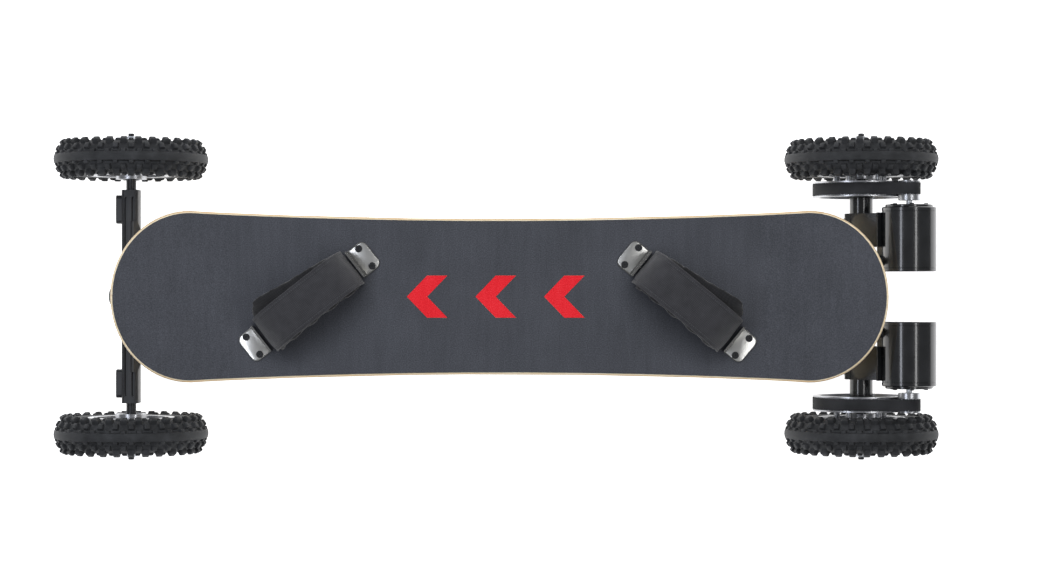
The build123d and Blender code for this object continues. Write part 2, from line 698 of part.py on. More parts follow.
with BuildPart() as rim:
    for side in (-1, 1):
        with BuildSketch(section()):
            with BuildLine():
                Polyline(*[(side * v, r) for v, r in (
                    (0.05, 11), (BEARING_IN, 11), (BEARING_IN, BEARING_R), (HUB_HALF, BEARING_R),
                    (HUB_HALF, HUB_R), (8, HUB_R + 2), (8, 44), (21.4, 44), (21.4, FLANGE_R),
                    (18.4, FLANGE_R), (18.4, RIM_R), (0.05, RIM_R))], close=True)
            make_face()
        revolve(axis=Axis.Y, clean=False)
    with BuildSketch(across(-10)):
        with PolarLocations(RIM_BOLT_CIRCLE_R, RIM_BOLTS, start_angle=BOLT_TURN):
            Circle(2.55)
        with PolarLocations(RIM_BOLT_CIRCLE_R + 0.5, RIM_BOLTS, start_angle=WINDOW_TURN):
            Circle(8)
    extrude(amount=20, mode=Mode.SUBTRACT)
    with BuildSketch(Plane.XY.offset(36)):
        Circle(3.2)
    extrude(amount=14, mode=Mode.SUBTRACT)
    # bolts that hold the two halves together
    with BuildSketch(across(-8)):
        with PolarLocations(RIM_BOLT_CIRCLE_R, RIM_BOLTS, start_angle=BOLT_TURN):
            Circle(2.5)
    extrude(amount=16)
    with BuildSketch(across(8)):
        with PolarLocations(RIM_BOLT_CIRCLE_R, RIM_BOLTS, start_angle=BOLT_TURN):
            Circle(4.5)
            RegularPolygon(2.2, 6, mode=Mode.SUBTRACT)
    extrude(amount=4)

with BuildPart() as bearings:
    for low in (-BEARING_IN - BEARING_W, BEARING_IN):
        with BuildSketch(across(low)):
            Circle(BEARING_R)
            Circle(BEARING_BORE, mode=Mode.SUBTRACT)
        extrude(amount=BEARING_W)
        # the groove between the rings, on both faces
        for face_y in (low, low + BEARING_W - 0.8):
            with BuildSketch(across(face_y)):
                Circle(12.5)
                Circle(7.5, mode=Mode.SUBTRACT)
            extrude(amount=0.8, mode=Mode.SUBTRACT)
    with BuildSketch(across(-BEARING_IN)):
        Circle(7)
        Circle(5.2, mode=Mode.SUBTRACT)
    extrude(amount=2 * BEARING_IN, clean=False)

PULLEY_FACE = BELT_Y + BELT_W            # outer face of the toothed ring
POST_END = WHEEL_Y - 8                   # the wheel's web
with BuildPart() as drive_pulley:
    with BuildSketch(across(BELT_Y - 1)):
        Circle(WHEEL_PULLEY_R)
        with PolarLocations(WHEEL_PULLEY_R - 0.45, WHEEL_TEETH):
            Circle(1.5, mode=Mode.SUBTRACT)
    extrude(amount=BELT_W + 1)
    with BuildSketch(across(PULLEY_FACE)):
        Circle(63)
    extrude(amount=2)
    with BuildSketch(across(BELT_Y - 2)):
        Circle(62.8)
    extrude(amount=1.5)
    with BuildSketch(across(BELT_Y - 3)):
        Circle(54)
    extrude(amount=BELT_W, mode=Mode.SUBTRACT)
    with BuildSketch(across(BELT_Y - 3)):
        Circle(24)
    extrude(amount=BELT_W + 7, mode=Mode.SUBTRACT)
    with BuildSketch(across(PULLEY_FACE)):
        with PolarLocations(RIM_BOLT_CIRCLE_R, RIM_BOLTS, start_angle=BOLT_TURN):
            Circle(4)
    extrude(amount=POST_END - PULLEY_FACE)

WHEELS = (("front_left", -1, -1), ("front_right", -1, 1), ("rear_left", 1, -1), ("rear_right", 1, 1))
for name, end, side in WHEELS:
    for suffix, source in (("tyre", tyre), ("inner_tube", tube), ("rim", rim), ("bearings", bearings)):
        shape = source.part if side == 1 else mirror(source.part, about=Plane.XZ)
        with BuildPart() as wheel_piece:
            with Locations((end * AXLE_X, side * WHEEL_Y, AXLE_Z)):
                add(shape)
        save(wheel_piece.part, f"{name}_{suffix}")
for name, side in (("left", -1), ("right", 1)):
    shape = drive_pulley.part if side == 1 else mirror(drive_pulley.part, about=Plane.XZ)
    with BuildPart() as pulley_piece:
        with Locations((AXLE_X, 0, AXLE_Z)):
            add(shape)
    save(pulley_piece.part, f"{name}_drive_pulley")

# ================================================================ motors, built for +Y
with BuildPart() as motor_cans:
    for low, high, radius in ((MOTOR_IN, MOTOR_OUT - 3, MOTOR_R), (MOTOR_OUT - 3, MOTOR_OUT, MOTOR_CAP_R)):
        with BuildSketch(across(low, MOTOR_X, MOTOR_Z)):
            Circle(radius)
        extrude(amount=high - low)
    with BuildSketch(across(MOTOR_IN + 4, MOTOR_X, MOTOR_Z)):
        Circle(MOTOR_R - 2.5)
    extrude(amount=MOTOR_OUT - MOTOR_IN - 11, mode=Mode.SUBTRACT)
    with BuildSketch(across(MOTOR_OUT - 10, MOTOR_X, MOTOR_Z)):
        Circle(SHAFT_R + 0.05)
    extrude(amount=12, mode=Mode.SUBTRACT)
    # cable gland on the front of the can
    with BuildSketch(Plane(origin=(MOTOR_X - MOTOR_R - 6, MOTOR_IN + 14, MOTOR_Z), z_dir=(1, 0, 0))):
        Circle(7)
    extrude(amount=7.5)
    mirror(about=Plane.XZ)
save(motor_cans.part, "motor_cans")

with BuildPart() as motor_stators:
    with BuildSketch(across(MOTOR_IN + 4, MOTOR_X, MOTOR_Z)):
        Circle(12)
        Circle(6, mode=Mode.SUBTRACT)
    extrude(amount=60)
    with BuildSketch(across(MOTOR_IN + 14, MOTOR_X, MOTOR_Z)):
        Circle(25)
        Circle(11, mode=Mode.SUBTRACT)
        with PolarLocations(19.5, 12):
            Rectangle(8, 4, mode=Mode.SUBTRACT)
    extrude(amount=48)
    mirror(about=Plane.XZ)
save(motor_stators.part, "motor_stators")

with BuildPart() as rotor:
    # magnet bell round the stator, and the shaft that carries the small pulley
    with BuildSketch(across(MOTOR_IN + 12, MOTOR_X, MOTOR_Z)):
        Circle(MOTOR_R - 3.5)
        Circle(26, mode=Mode.SUBTRACT)
    extrude(amount=58)
    with BuildSketch(across(MOTOR_IN + 66, MOTOR_X, MOTOR_Z)):
        Circle(MOTOR_R - 3.5)
    extrude(amount=4)
    with BuildSketch(across(MOTOR_IN + 6, MOTOR_X, MOTOR_Z)):
        Circle(SHAFT_R)
    extrude(amount=150 - MOTOR_IN - 6)
    fillet(rotor.faces().sort_by(Axis.Y)[-1].edges(), 0.6)

with BuildPart() as motor_pulley:
    with BuildSketch(across(BELT_Y - 2.5, MOTOR_X, MOTOR_Z)):
        Circle(MOTOR_PULLEY_R)
        with PolarLocations(MOTOR_PULLEY_R - 0.45, MOTOR_TEETH):
            Circle(1.5, mode=Mode.SUBTRACT)
    extrude(amount=BELT_W + 4)
    # hub with its set screw on the motor side, and a thin flange on the wheel side
    for low, length, radius in ((BELT_Y - 7.5, 7.0, 14.0), (PULLEY_FACE + 0.5, 1.5, 14.5)):
        with BuildSketch(across(low, MOTOR_X, MOTOR_Z)):
            Circle(radius)
        extrude(amount=length)
    with BuildSketch(across(BELT_Y - 8, MOTOR_X, MOTOR_Z)):
        Circle(SHAFT_R + 0.01)
    extrude(amount=BELT_W + 13, mode=Mode.SUBTRACT)

for name, side in (("left", -1), ("right", 1)):
    for suffix, source in (("rotor", rotor), ("motor_pulley", motor_pulley)):
        with BuildPart() as motor_piece:
            add(source.part if side == 1 else mirror(source.part, about=Plane.XZ, mode=Mode.PRIVATE))
        save(motor_piece.part, f"{name}_{suffix}")

with BuildPart() as drive_belts:
    with BuildSketch(across(BELT_Y + 0.5, AXLE_X, AXLE_Z)):
        for clearance, mode in ((BELT_GAP + BELT_T, Mode.ADD), (BELT_GAP, Mode.SUBTRACT)):
            with BuildSketch(mode=mode):
                Circle(WHEEL_PULLEY_R + clearance)
                with Locations((MOTOR_DX, -MOTOR_DZ)):
                    Circle(MOTOR_PULLEY_R + clearance)
                make_hull()
    extrude(amount=BELT_W - 1)
    mirror(about=Plane.XZ)
save(drive_belts.part, "drive_belts")

# motor mounts: local x runs from the axle to the motor axis
reach_to_motor = math.hypot(MOTOR_DX, MOTOR_DZ)
arm_dir = (MOTOR_DX / reach_to_motor, 0, MOTOR_DZ / reach_to_motor)
arm_plane = Plane(origin=(AXLE_X, MOUNT_IN, AXLE_Z), x_dir=arm_dir, z_dir=(0, 1, 0))
CLAMP_HALF, CLAMP_SCREW = 22.4, 18.0
with BuildPart() as motor_mounts:
    with BuildSketch(arm_plane):
        Polygon((0.4, -CLAMP_HALF), (13, -CLAMP_HALF), (26, -19), (26, 19), (13, CLAMP_HALF),
                (0.4, CLAMP_HALF), align=None)
        with Locations((reach_to_motor, 0)):
            Circle(MOTOR_R + 7)
        with Locations((reach_to_motor, 0)):
            Circle(MOTOR_R + 0.02, mode=Mode.SUBTRACT)
        with Locations((reach_to_motor + 26, 0)):
            Rectangle(100, 100, mode=Mode.SUBTRACT)
        Polygon((26, -19), (reach_to_motor - MOTOR_R - 2, -14), (reach_to_motor - MOTOR_R - 2, 14),
                (26, 19), align=None)
        Circle(15.02, mode=Mode.SUBTRACT)
    extrude(amount=MOUNT_OUT - MOUNT_IN)
    # the cradle under the can goes on inwards, and stops below the cable gland
    with BuildSketch(arm_plane.offset(CRADLE_IN - MOUNT_IN)):
        with Locations((reach_to_motor, 0)):
            Circle(MOTOR_R + 7)
        with Locations((reach_to_motor, 0)):
            Circle(MOTOR_R + 0.02, mode=Mode.SUBTRACT)
        with Locations((reach_to_motor + 26, 0), (reach_to_motor - 24, -68)):
            Rectangle(100, 100, mode=Mode.SUBTRACT)
    extrude(amount=MOUNT_IN - CRADLE_IN)
    # clamp cap on the other side of the hanger tube
    with BuildSketch(arm_plane):
        Polygon((-0.4, -CLAMP_HALF), (-9, -CLAMP_HALF), (-18.5, -13), (-18.5, 13), (-9, CLAMP_HALF),
                (-0.4, CLAMP_HALF), align=None)
        Circle(15.02, mode=Mode.SUBTRACT)
    extrude(amount=MOUNT_OUT - MOUNT_IN)
    # holes for the clamp screws
    clamp_plane = Plane(origin=(AXLE_X, (MOUNT_IN + MOUNT_OUT) / 2, AXLE_Z), x_dir=(0, 1, 0), z_dir=arm_dir)
    with BuildSketch(clamp_plane.offset(-14)):
        with GridLocations(24, 2 * CLAMP_SCREW, 2, 2):
            Circle(2.05)
    extrude(amount=25, mode=Mode.SUBTRACT)
    with BuildSketch(clamp_plane.offset(-30)):
        with GridLocations(24, 2 * CLAMP_SCREW, 2, 2):
            Circle(4.6)
    extrude(amount=20, mode=Mode.SUBTRACT)
    mirror(about=Plane.XZ)
save(motor_mounts.part, "motor_mounts")

with BuildPart() as mount_screws:
    with BuildSketch(clamp_plane.offset(-10)):
        with GridLocations(24, 2 * CLAMP_SCREW, 2, 2):
            Circle(2.0)
    extrude(amount=20)
    with BuildSketch(clamp_plane.offset(-14)):
        with GridLocations(24, 2 * CLAMP_SCREW, 2, 2):
            Circle(3.6)
            RegularPolygon(1.7, 6, mode=Mode.SUBTRACT)
    extrude(amount=4)
    mirror(about=Plane.XZ)
save(mount_screws.part, "mount_screws")

# motor cables: from the rear wall of the box, under the deck, to the glands on the cans
CABLE_R = 4.5
cable_route = [(BOX_L / 2, 36, BOX_TOP - 17), (292, 36, BOX_TOP - 17), (340, 40, 134), (388, 48, 143),
               (430, 50, 152), (462, MOTOR_IN + 14, MOTOR_Z), (MOTOR_X - MOTOR_R - 6, MOTOR_IN + 14, MOTOR_Z)]
with BuildPart() as motor_cables:
    with BuildLine() as cable_line:
        runs = [(Vector(*b) - Vector(*a)).length for a, b in zip(cable_route, cable_route[1:])]
        radii = []
        for n in range(1, len(cable_route) - 1):
            before = Vector(*cable_route[n]) - Vector(*cable_route[n - 1])
            after = Vector(*cable_route[n + 1]) - Vector(*cable_route[n])
            half_turn = math.radians(before.get_angle(after)) / 2
            radii.append(0.45 * min(runs[n - 1], runs[n]) / math.tan(half_turn))
        FilletPolyline(*cable_route, radius=radii)
    with BuildSketch(Plane(origin=cable_line.line @ 0, z_dir=cable_line.line % 0)):
        Circle(CABLE_R)
    sweep()
    mirror(about=Plane.XZ)
save(motor_cables.part, "motor_cables")
print("cable bend radii", [round(r) for r in radii])
print("cable volume / (section x length)",
      round(motor_cables.part.volume / (2 * math.pi * CABLE_R ** 2 * cable_line.wire().length), 4))
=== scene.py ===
# %% [markdown]
# # An off-road electric skateboard
#
# This lesson dresses a finished engineering model: the deck, trucks, wheels and motors already have
# their true shapes and sizes, so each one only needs softened edges and an honest material. What the
# engineering model leaves plain is built here: knobbly tyres, toothed belts, padded foot straps and
# bending cables. Lengths are in metres, and small sizes are written in millimetres times MM.

# %% Load the frame
import json
import math

import bmesh
import bpy
from mathutils import Matrix, Vector

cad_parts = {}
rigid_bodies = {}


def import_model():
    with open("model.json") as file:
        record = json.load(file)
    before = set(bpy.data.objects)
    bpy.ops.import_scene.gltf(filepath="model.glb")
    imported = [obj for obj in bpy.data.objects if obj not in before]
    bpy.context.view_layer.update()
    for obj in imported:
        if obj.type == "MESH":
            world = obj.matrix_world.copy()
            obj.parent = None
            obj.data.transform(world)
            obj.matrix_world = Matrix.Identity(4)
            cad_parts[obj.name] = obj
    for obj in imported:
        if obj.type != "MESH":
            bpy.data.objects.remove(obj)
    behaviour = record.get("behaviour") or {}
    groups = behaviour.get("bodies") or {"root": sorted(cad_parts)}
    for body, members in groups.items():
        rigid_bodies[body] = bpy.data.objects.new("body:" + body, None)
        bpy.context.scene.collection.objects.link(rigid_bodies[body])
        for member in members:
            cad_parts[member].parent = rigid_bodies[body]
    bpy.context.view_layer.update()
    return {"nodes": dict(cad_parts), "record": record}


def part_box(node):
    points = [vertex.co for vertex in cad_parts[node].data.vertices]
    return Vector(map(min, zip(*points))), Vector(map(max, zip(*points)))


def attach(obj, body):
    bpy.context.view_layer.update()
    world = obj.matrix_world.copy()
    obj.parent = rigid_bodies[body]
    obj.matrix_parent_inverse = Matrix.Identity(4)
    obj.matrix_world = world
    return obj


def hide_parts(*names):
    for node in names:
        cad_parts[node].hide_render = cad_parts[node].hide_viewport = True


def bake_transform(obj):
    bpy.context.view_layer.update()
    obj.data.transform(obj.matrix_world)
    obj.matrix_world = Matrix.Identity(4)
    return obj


for leftover in list(bpy.data.objects):
    bpy.data.objects.remove(leftover)
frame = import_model()
MM = 0.001
BODY_OF = {node: body for body, nodes in frame["record"]["behaviour"]["bodies"].items() for node in nodes}

# %% [markdown]
# ## Camera, floor and light
#
# The board is seen from straight above, a little off its centre, from 3.3 m. On a white floor, a
# black object only reads well if the lights are long: two strip lights that run across the board
# draw the two bright lines along each round motor and tube. The main light stands behind the board's
# far side and throws short shadows forwards. It is hidden from reflections, as a photographer hides
# it with a flag, so that gloss black stays black. The pale grey world is what bare metal mirrors.

# %% Camera
CAMERA_HEIGHT = 3.3
scene = bpy.context.scene
camera = bpy.data.objects.new("camera", bpy.data.cameras.new("camera"))
scene.collection.objects.link(camera)
camera.location = (35 * MM, 9.8 * MM, CAMERA_HEIGHT)
camera.data.sensor_width, camera.data.lens = 36, 84.3
scene.camera = camera
scene.view_settings.view_transform = "Standard"


# %% Helpers for colours, nodes and materials
def paint(code):
    """A hex sRGB colour as linear RGBA."""
    channels = [int(code[i:i + 2], 16) / 255 for i in (1, 3, 5)]
    return tuple(c / 12.92 if c <= 0.04045 else ((c + 0.055) / 1.055) ** 2.4 for c in channels) + (1.0,)


def add(tree, kind, sockets=None, **settings):
    """Add one shader node, with its settings, and its sockets' values or links."""
    made = tree.nodes.new(kind)
    for name, value in settings.items():
        setattr(made, name, value)
    for name, value in (sockets or {}).items():
        if isinstance(value, bpy.types.NodeSocket):
            tree.links.new(value, made.inputs[name])
        else:
            made.inputs[name].default_value = value
    return made


def new_material(name, colour, roughness, metallic=0.0, **shader):
    """A material with one Principled shader. Returns the material, its tree and the shader."""
    material = bpy.data.materials.new(name)
    material.use_nodes = True
    tree = material.node_tree
    surface = tree.nodes["Principled BSDF"]
    surface.inputs["Base Color"].default_value = paint(colour)
    surface.inputs["Roughness"].default_value = roughness
    surface.inputs["Metallic"].default_value = metallic
    for name_, value in shader.items():
        surface.inputs[name_.replace("_", " ").title().replace("Ior", "IOR")].default_value = value
    return material, tree, surface


def place(tree, scale=(1, 1, 1)):
    """Object coordinates in metres, stretched."""
    where = add(tree, "ShaderNodeTexCoord").outputs["Object"]
    return add(tree, "ShaderNodeMapping", {"Vector": where, "Scale": scale}).outputs["Vector"]


def noise(tree, where, size_mm, detail=2.0, roughness=0.5):
    """Noise whose blobs are about size_mm across."""
    return add(tree, "ShaderNodeTexNoise", {"Vector": where, "Scale": 1000 / size_mm, "Detail": detail,
                                            "Roughness": roughness}).outputs["Fac"]


def ramp(tree, factor, stops):
    """Colour bands: stops are (place, hex colour)."""
    made = add(tree, "ShaderNodeValToRGB", {"Fac": factor})
    while len(made.color_ramp.elements) < len(stops):
        made.color_ramp.elements.new(0.5)
    for element, (spot, colour) in zip(made.color_ramp.elements, stops):
        element.position = spot
        element.color = paint(colour)
    return made.outputs["Color"]


def spread(tree, factor, low, high):
    """Turn a 0 to 1 value into one from low to high."""
    return add(tree, "ShaderNodeMapRange", {"Value": factor, "To Min": low, "To Max": high}).outputs["Result"]


def tinted(tree, surface, colour, other, share):
    """Mix a second colour into the base colour."""
    tint = add(tree, "ShaderNodeMix", {"Factor": share}, data_type="RGBA")
    tint.inputs["A"].default_value = paint(colour)
    tint.inputs["B"].default_value = paint(other)
    tree.links.new(tint.outputs["Result"], surface.inputs["Base Color"])


def bump(tree, surface, height, depth_mm, strength=1.0):
    """Raise the surface by up to depth_mm."""
    made = add(tree, "ShaderNodeBump", {"Height": height, "Distance": depth_mm * MM, "Strength": strength})
    tree.links.new(made.outputs["Normal"], surface.inputs["Normal"])


def soft_box(name, where, aim, size_x, size_y, power, colour="#FFFFFF", mirrored=True):
    """One rectangular studio light. size_x runs sideways for the light, size_y up its face."""
    data = bpy.data.lights.new(name, "AREA")
    data.shape = "RECTANGLE"
    data.size, data.size_y, data.energy = size_x, size_y, power
    data.color = paint(colour)[:3]
    lamp = bpy.data.objects.new(name, data)
    lamp.location = where
    lamp.rotation_euler = (Vector(aim) - Vector(where)).to_track_quat("-Z", "Y").to_euler()
    lamp.visible_glossy = mirrored
    scene.collection.objects.link(lamp)


# %% Helpers for meshes
ENDS, SIDES = ("front", "rear"), (("left", -1), ("right", 1))
WELD = 0.001 * MM


def as_mesh(shape, name, matrix=None):
    """Turn a finished bmesh into a mesh, moved by a matrix."""
    mesh = bpy.data.meshes.new(name)
    shape.to_mesh(mesh)
    shape.free()
    if matrix is not None:
        mesh.transform(matrix)
    return mesh


def lathe(profile, axis, steps, closed=True):
    """Spin a profile of (radius, height) pairs once round the Y or the Z axis."""
    shape = bmesh.new()
    ring = [shape.verts.new((r, h, 0) if axis == "Y" else (r, 0, h)) for r, h in profile]
    loop = [shape.edges.new(pair) for pair in zip(ring, ring[1:] + (ring[:1] if closed else []))]
    bmesh.ops.spin(shape, geom=ring + loop, cent=(0, 0, 0), axis=(0, axis == "Y", axis == "Z"),
                   angle=math.tau, steps=steps, use_merge=True)
    bmesh.ops.remove_doubles(shape, verts=shape.verts, dist=WELD)
    return shape


def middle_of(node):
    """Centre of a node's box."""
    low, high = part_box(node)
    return (low + high) / 2


# %% Floor and lights
FLOOR_HALF, WORLD_LIGHT = 6, 0.24
world = bpy.data.worlds.new("studio")
scene.world = world
world.use_nodes = True
world.node_tree.nodes["Background"].inputs["Color"].default_value = paint("#F4F6FA")
world.node_tree.nodes["Background"].inputs["Strength"].default_value = WORLD_LIGHT
soft_box("key_box", (-0.1, 1.25, 2.4), (0, 0, 0), 2.2, 0.7, 38, "#FFFFFF", False)
soft_box("left_strip", (-1.1, 0, 1.9), (0.5, 0, 0.1), 2.4, 0.3, 14, "#EFF4FF")
soft_box("right_strip", (1.3, 0, 2.3), (0.5, 0, 0.1), 2.4, 0.26, 12)

shape = bmesh.new()
bmesh.ops.create_grid(shape, x_segments=1, y_segments=1, size=FLOOR_HALF)
floor = bpy.data.objects.new("floor", as_mesh(shape, "floor"))
scene.collection.objects.link(floor)
floor_paint, _, floor_surface = new_material("white_paper", "#FFFFFF", 0.9)
floor_surface.inputs["Emission Color"].default_value = paint("#FFFFFF")
floor_surface.inputs["Emission Strength"].default_value = 1.0
floor.data.materials.append(floor_paint)

# %% [markdown]
# ## Materials of the board
#
# The deck is Canadian maple plywood: seven veneers, glued with their grain crossed in turn, pressed
# in a mould and lacquered. Its faces show long straight grain, and its edge shows the plies as
# stripes. Each vertex of the deck will carry its height within the plywood as an attribute called
# `ply`, so the stripes follow the bent board. Grip tape is silicon carbide grit glued on a dark film.
# Real grit is 0.3 mm, which is too fine to see from here, so it is drawn at about 1.5 mm.

# %% Maple plywood
VENEERS = 7
maple, tree, surface = new_material("maple_plywood", "#D9B98A", 0.38, coat_weight=0.35, coat_roughness=0.25)
height_in_ply = add(tree, "ShaderNodeAttribute", attribute_name="ply").outputs["Fac"]
layer = add(tree, "ShaderNodeMath", {0: height_in_ply, 1: float(VENEERS)}, operation="MULTIPLY").outputs[0]
layer = add(tree, "ShaderNodeMath", {0: layer, 1: 2.0}, operation="MODULO").outputs[0]
stripes = ramp(tree, layer, [(0.0, "#EFE3C8"), (0.46, "#E9DABB"), (0.54, "#D0AA7A"), (0.97, "#D6B288"),
                             (1.0, "#EFE3C8")])
grain = noise(tree, place(tree, (0.06, 1, 1)), 3.2, 5, 0.6)
veneer = ramp(tree, grain, [(0.3, "#DCC49C"), (0.5, "#E9D9B8"), (0.72, "#EFE4CB")])
facing = add(tree, "ShaderNodeNewGeometry").outputs["Normal"]
upright = add(tree, "ShaderNodeSeparateXYZ", {"Vector": facing}).outputs["Z"]
upright = add(tree, "ShaderNodeMath", {0: upright}, operation="ABSOLUTE").outputs[0]
is_face = add(tree, "ShaderNodeMapRange", {"Value": upright, "From Min": 0.86, "From Max": 0.93})
is_face = is_face.outputs["Result"]
mixed = add(tree, "ShaderNodeMix", {"Factor": is_face}, data_type="RGBA")
tree.links.new(stripes, mixed.inputs["A"])
tree.links.new(veneer, mixed.inputs["B"])
tree.links.new(mixed.outputs["Result"], surface.inputs["Base Color"])
tree.links.new(spread(tree, grain, 0.3, 0.5), surface.inputs["Roughness"])
bump(tree, surface, grain, 0.15, 0.35)


# %% Grip tape
def gritty(name, dark, middle, light, roughness=0.82):
    """Grit glued on film: specks of grey over the base colour, faint streaks where shoes wear it."""
    material, tree, surface = new_material(name, middle, roughness, specular_ior_level=0.35)
    specks = noise(tree, place(tree), 1.5, 3, 0.75)
    streaks = noise(tree, place(tree, (1.0, 0.12, 1.0)), 7, 3, 0.6)
    patches = noise(tree, place(tree), 70, 2)
    blend = add(tree, "ShaderNodeMath", {0: specks, 1: 0.62}, operation="MULTIPLY").outputs[0]
    blend = add(tree, "ShaderNodeMath", {0: streaks, 1: 0.1, 2: blend}, operation="MULTIPLY_ADD").outputs[0]
    blend = add(tree, "ShaderNodeMath", {0: patches, 1: 0.12, 2: blend}, operation="MULTIPLY_ADD").outputs[0]
    tree.links.new(ramp(tree, blend, [(0.28, dark), (0.42, middle), (0.56, light)]),
                   surface.inputs["Base Color"])
    bump(tree, surface, specks, 0.5, 0.7)
    return material


grip = gritty("silicon_carbide_grip", "#34363A", "#44464C", "#54565D")
red_grip = gritty("red_grip", "#C4141F", "#E3202B", "#F0414A")


# %% [markdown]
# ## Metals, paints and plastics
#
# - Cast aluminium under satin powder coat: the front hanger, baseplates and motor mounts. The casting
#   leaves a faint orange peel.
# - Gloss enamel on steel tube: the rear hanger and the motor cans, almost mirror smooth.
# - Polished aluminium and stainless steel: rims, pulleys and strap brackets, with fine turning or
#   brushing marks that spread the highlights.
# - Black oxide on steel screws, and zinc on axles and nuts.
# - ABS: the battery box, moulded with a spark-eroded texture.

# %% Metals and paints
def coated(name, colour, roughness, peel_mm, peel_depth, coat=0.0):
    """Paint or powder on metal, with its orange peel and a slight change of gloss."""
    material, tree, surface = new_material(name, colour, roughness, coat_weight=coat, coat_roughness=0.06)
    peel = noise(tree, place(tree), peel_mm, 2)
    haze = noise(tree, place(tree), 24, 3)
    tree.links.new(spread(tree, haze, roughness * 0.75, roughness * 1.3), surface.inputs["Roughness"])
    tinted(tree, surface, colour, "#6A6C72", spread(tree, haze, 0.0, 0.12))
    bump(tree, surface, peel, peel_depth, 0.5)
    return material


def bare_metal(name, colour, roughness, scratch_scale, depth=0.02):
    """Machined or polished metal, with fine lines stretched along one direction."""
    material, tree, surface = new_material(name, colour, roughness, metallic=1.0)
    lines = noise(tree, place(tree, scratch_scale), 1.2, 3, 0.7)
    cloud = noise(tree, place(tree), 18, 2)
    tree.links.new(spread(tree, lines, roughness * 0.7, roughness * 1.5), surface.inputs["Roughness"])
    tinted(tree, surface, colour, "#8E9095", spread(tree, cloud, 0.0, 0.16))
    bump(tree, surface, lines, depth, 0.4)
    return material


powder_black = coated("satin_powder_coat", "#17181A", 0.42, 1.2, 0.05)
enamel_black = coated("gloss_enamel", "#050606", 0.2, 2.5, 0.01, coat=0.5)
black_oxide = coated("black_oxide_steel", "#101113", 0.34, 0.8, 0.02)
polished_alloy = bare_metal("polished_aluminium", "#B9BABD", 0.28, (1, 0.15, 1))
# the brackets' stainless steel painted much lighter, for the raised beads: a painted highlight
bead_painted_highlight_steel = bare_metal("stainless_painted_highlight", "#E4E3DF", 0.3, (1, 1, 1))
stainless = bare_metal("polished_stainless", "#A9A8A4", 0.2, (0.4, 0.4, 1), 0.03)
zinc_steel = bare_metal("zinc_plated_steel", "#B9BCC0", 0.27, (1, 0.3, 1))
copper_wire = bare_metal("enamelled_copper", "#B4633A", 0.3, (0.2, 1, 1))


# %% Plastics, rubbers and electronics
def moulded(name, colour, roughness, grain_mm, depth, specular=0.5):
    """Moulded plastic or rubber with a fine texture."""
    material, tree, surface = new_material(name, colour, roughness, specular_ior_level=specular)
    texture = noise(tree, place(tree), grain_mm, 2)
    cloud = noise(tree, place(tree), 35, 3)
    tinted(tree, surface, colour, "#77797E", spread(tree, cloud, 0.0, 0.2))
    tree.links.new(spread(tree, texture, roughness * 0.85, min(1.0, roughness * 1.2)),
                   surface.inputs["Roughness"])
    bump(tree, surface, texture, depth, 0.6)
    return material


abs_plastic = moulded("textured_abs", "#161719", 0.5, 1.4, 0.06)
soft_rubber = moulded("moulded_rubber", "#1A1B1C", 0.62, 2.0, 0.04, 0.35)
cable_jacket = moulded("silicone_jacket", "#121213", 0.45, 3.0, 0.02)
urethane = moulded("cast_urethane", "#B3221C", 0.35, 6.0, 0.02)
solder_mask = moulded("solder_mask", "#12522C", 0.3, 4.0, 0.02)
neoprene = moulded("belt_neoprene", "#0D0D0E", 0.7, 1.5, 0.02, 0.2)
shrink_film = moulded("heat_shrink_film", "#2C6FA3", 0.28, 9.0, 0.05)

# %% [markdown]
# ## Tyre rubber, belt and cloth
#
# Tyre rubber is carbon-black rubber pressed in a mould: dark grey, not black, with a dusty sheen on
# its worn knobs. A drive belt is neoprene with a nylon face. The strap panel is a tight polyester
# weave over foam, and the pad below it is a hairier knit, painted darker than the panel: painted shade,
# as the pad lies under the panel and slopes down steeply. Threads are 0.4 mm on the real
# cloth, and they are drawn at 1.1 mm here.

# %% Rubber and cloth
tyre_rubber, tree, surface = new_material("tyre_rubber", "#27282A", 0.68, specular_ior_level=0.4)
dust = noise(tree, place(tree), 16, 4, 0.6)
fine = noise(tree, place(tree), 1.6, 2)
tree.links.new(ramp(tree, dust, [(0.3, "#1F2022"), (0.55, "#2D2E30"), (0.8, "#3D3E41")]),
               surface.inputs["Base Color"])
tree.links.new(spread(tree, dust, 0.5, 0.82), surface.inputs["Roughness"])
bump(tree, surface, fine, 0.1, 0.5)


WAVE = 6.28      # Blender's wave texture runs about this many waves in each unit of its scale


def cloth(name, dark, light, thread_mm, depth, sheen):
    """Woven or knitted cloth: two crossed waves in the piece's own UV map, where one unit is a metre."""
    material, tree, surface = new_material(name, light, 0.85, sheen_weight=sheen, sheen_roughness=0.5)
    uv = add(tree, "ShaderNodeUVMap", uv_map="cloth").outputs["UV"]
    waves = []
    for direction in ("X", "Y"):
        waves.append(add(tree, "ShaderNodeTexWave", {"Vector": uv, "Scale": 1 / (thread_mm * MM * WAVE),
                                                     "Distortion": 0.6, "Detail": 1.0},
                         bands_direction=direction).outputs["Fac"])
    weave = add(tree, "ShaderNodeMath", {0: waves[0], 1: waves[1]}, operation="MULTIPLY").outputs[0]
    mottle = noise(tree, place(tree), 12, 4, 0.6)
    both = add(tree, "ShaderNodeMath", {0: mottle, 1: 0.55, 2: 0.0}, operation="MULTIPLY_ADD").outputs[0]
    both = add(tree, "ShaderNodeMath", {0: weave, 1: 0.45, 2: both}, operation="MULTIPLY_ADD").outputs[0]
    tree.links.new(ramp(tree, both, [(0.2, dark), (0.75, light)]), surface.inputs["Base Color"])
    bump(tree, surface, weave, depth, 0.7)
    return material


strap_cloth = cloth("polyester_strap_cloth", "#28282B", "#3D3D41", 1.1, 0.18, 0.2)
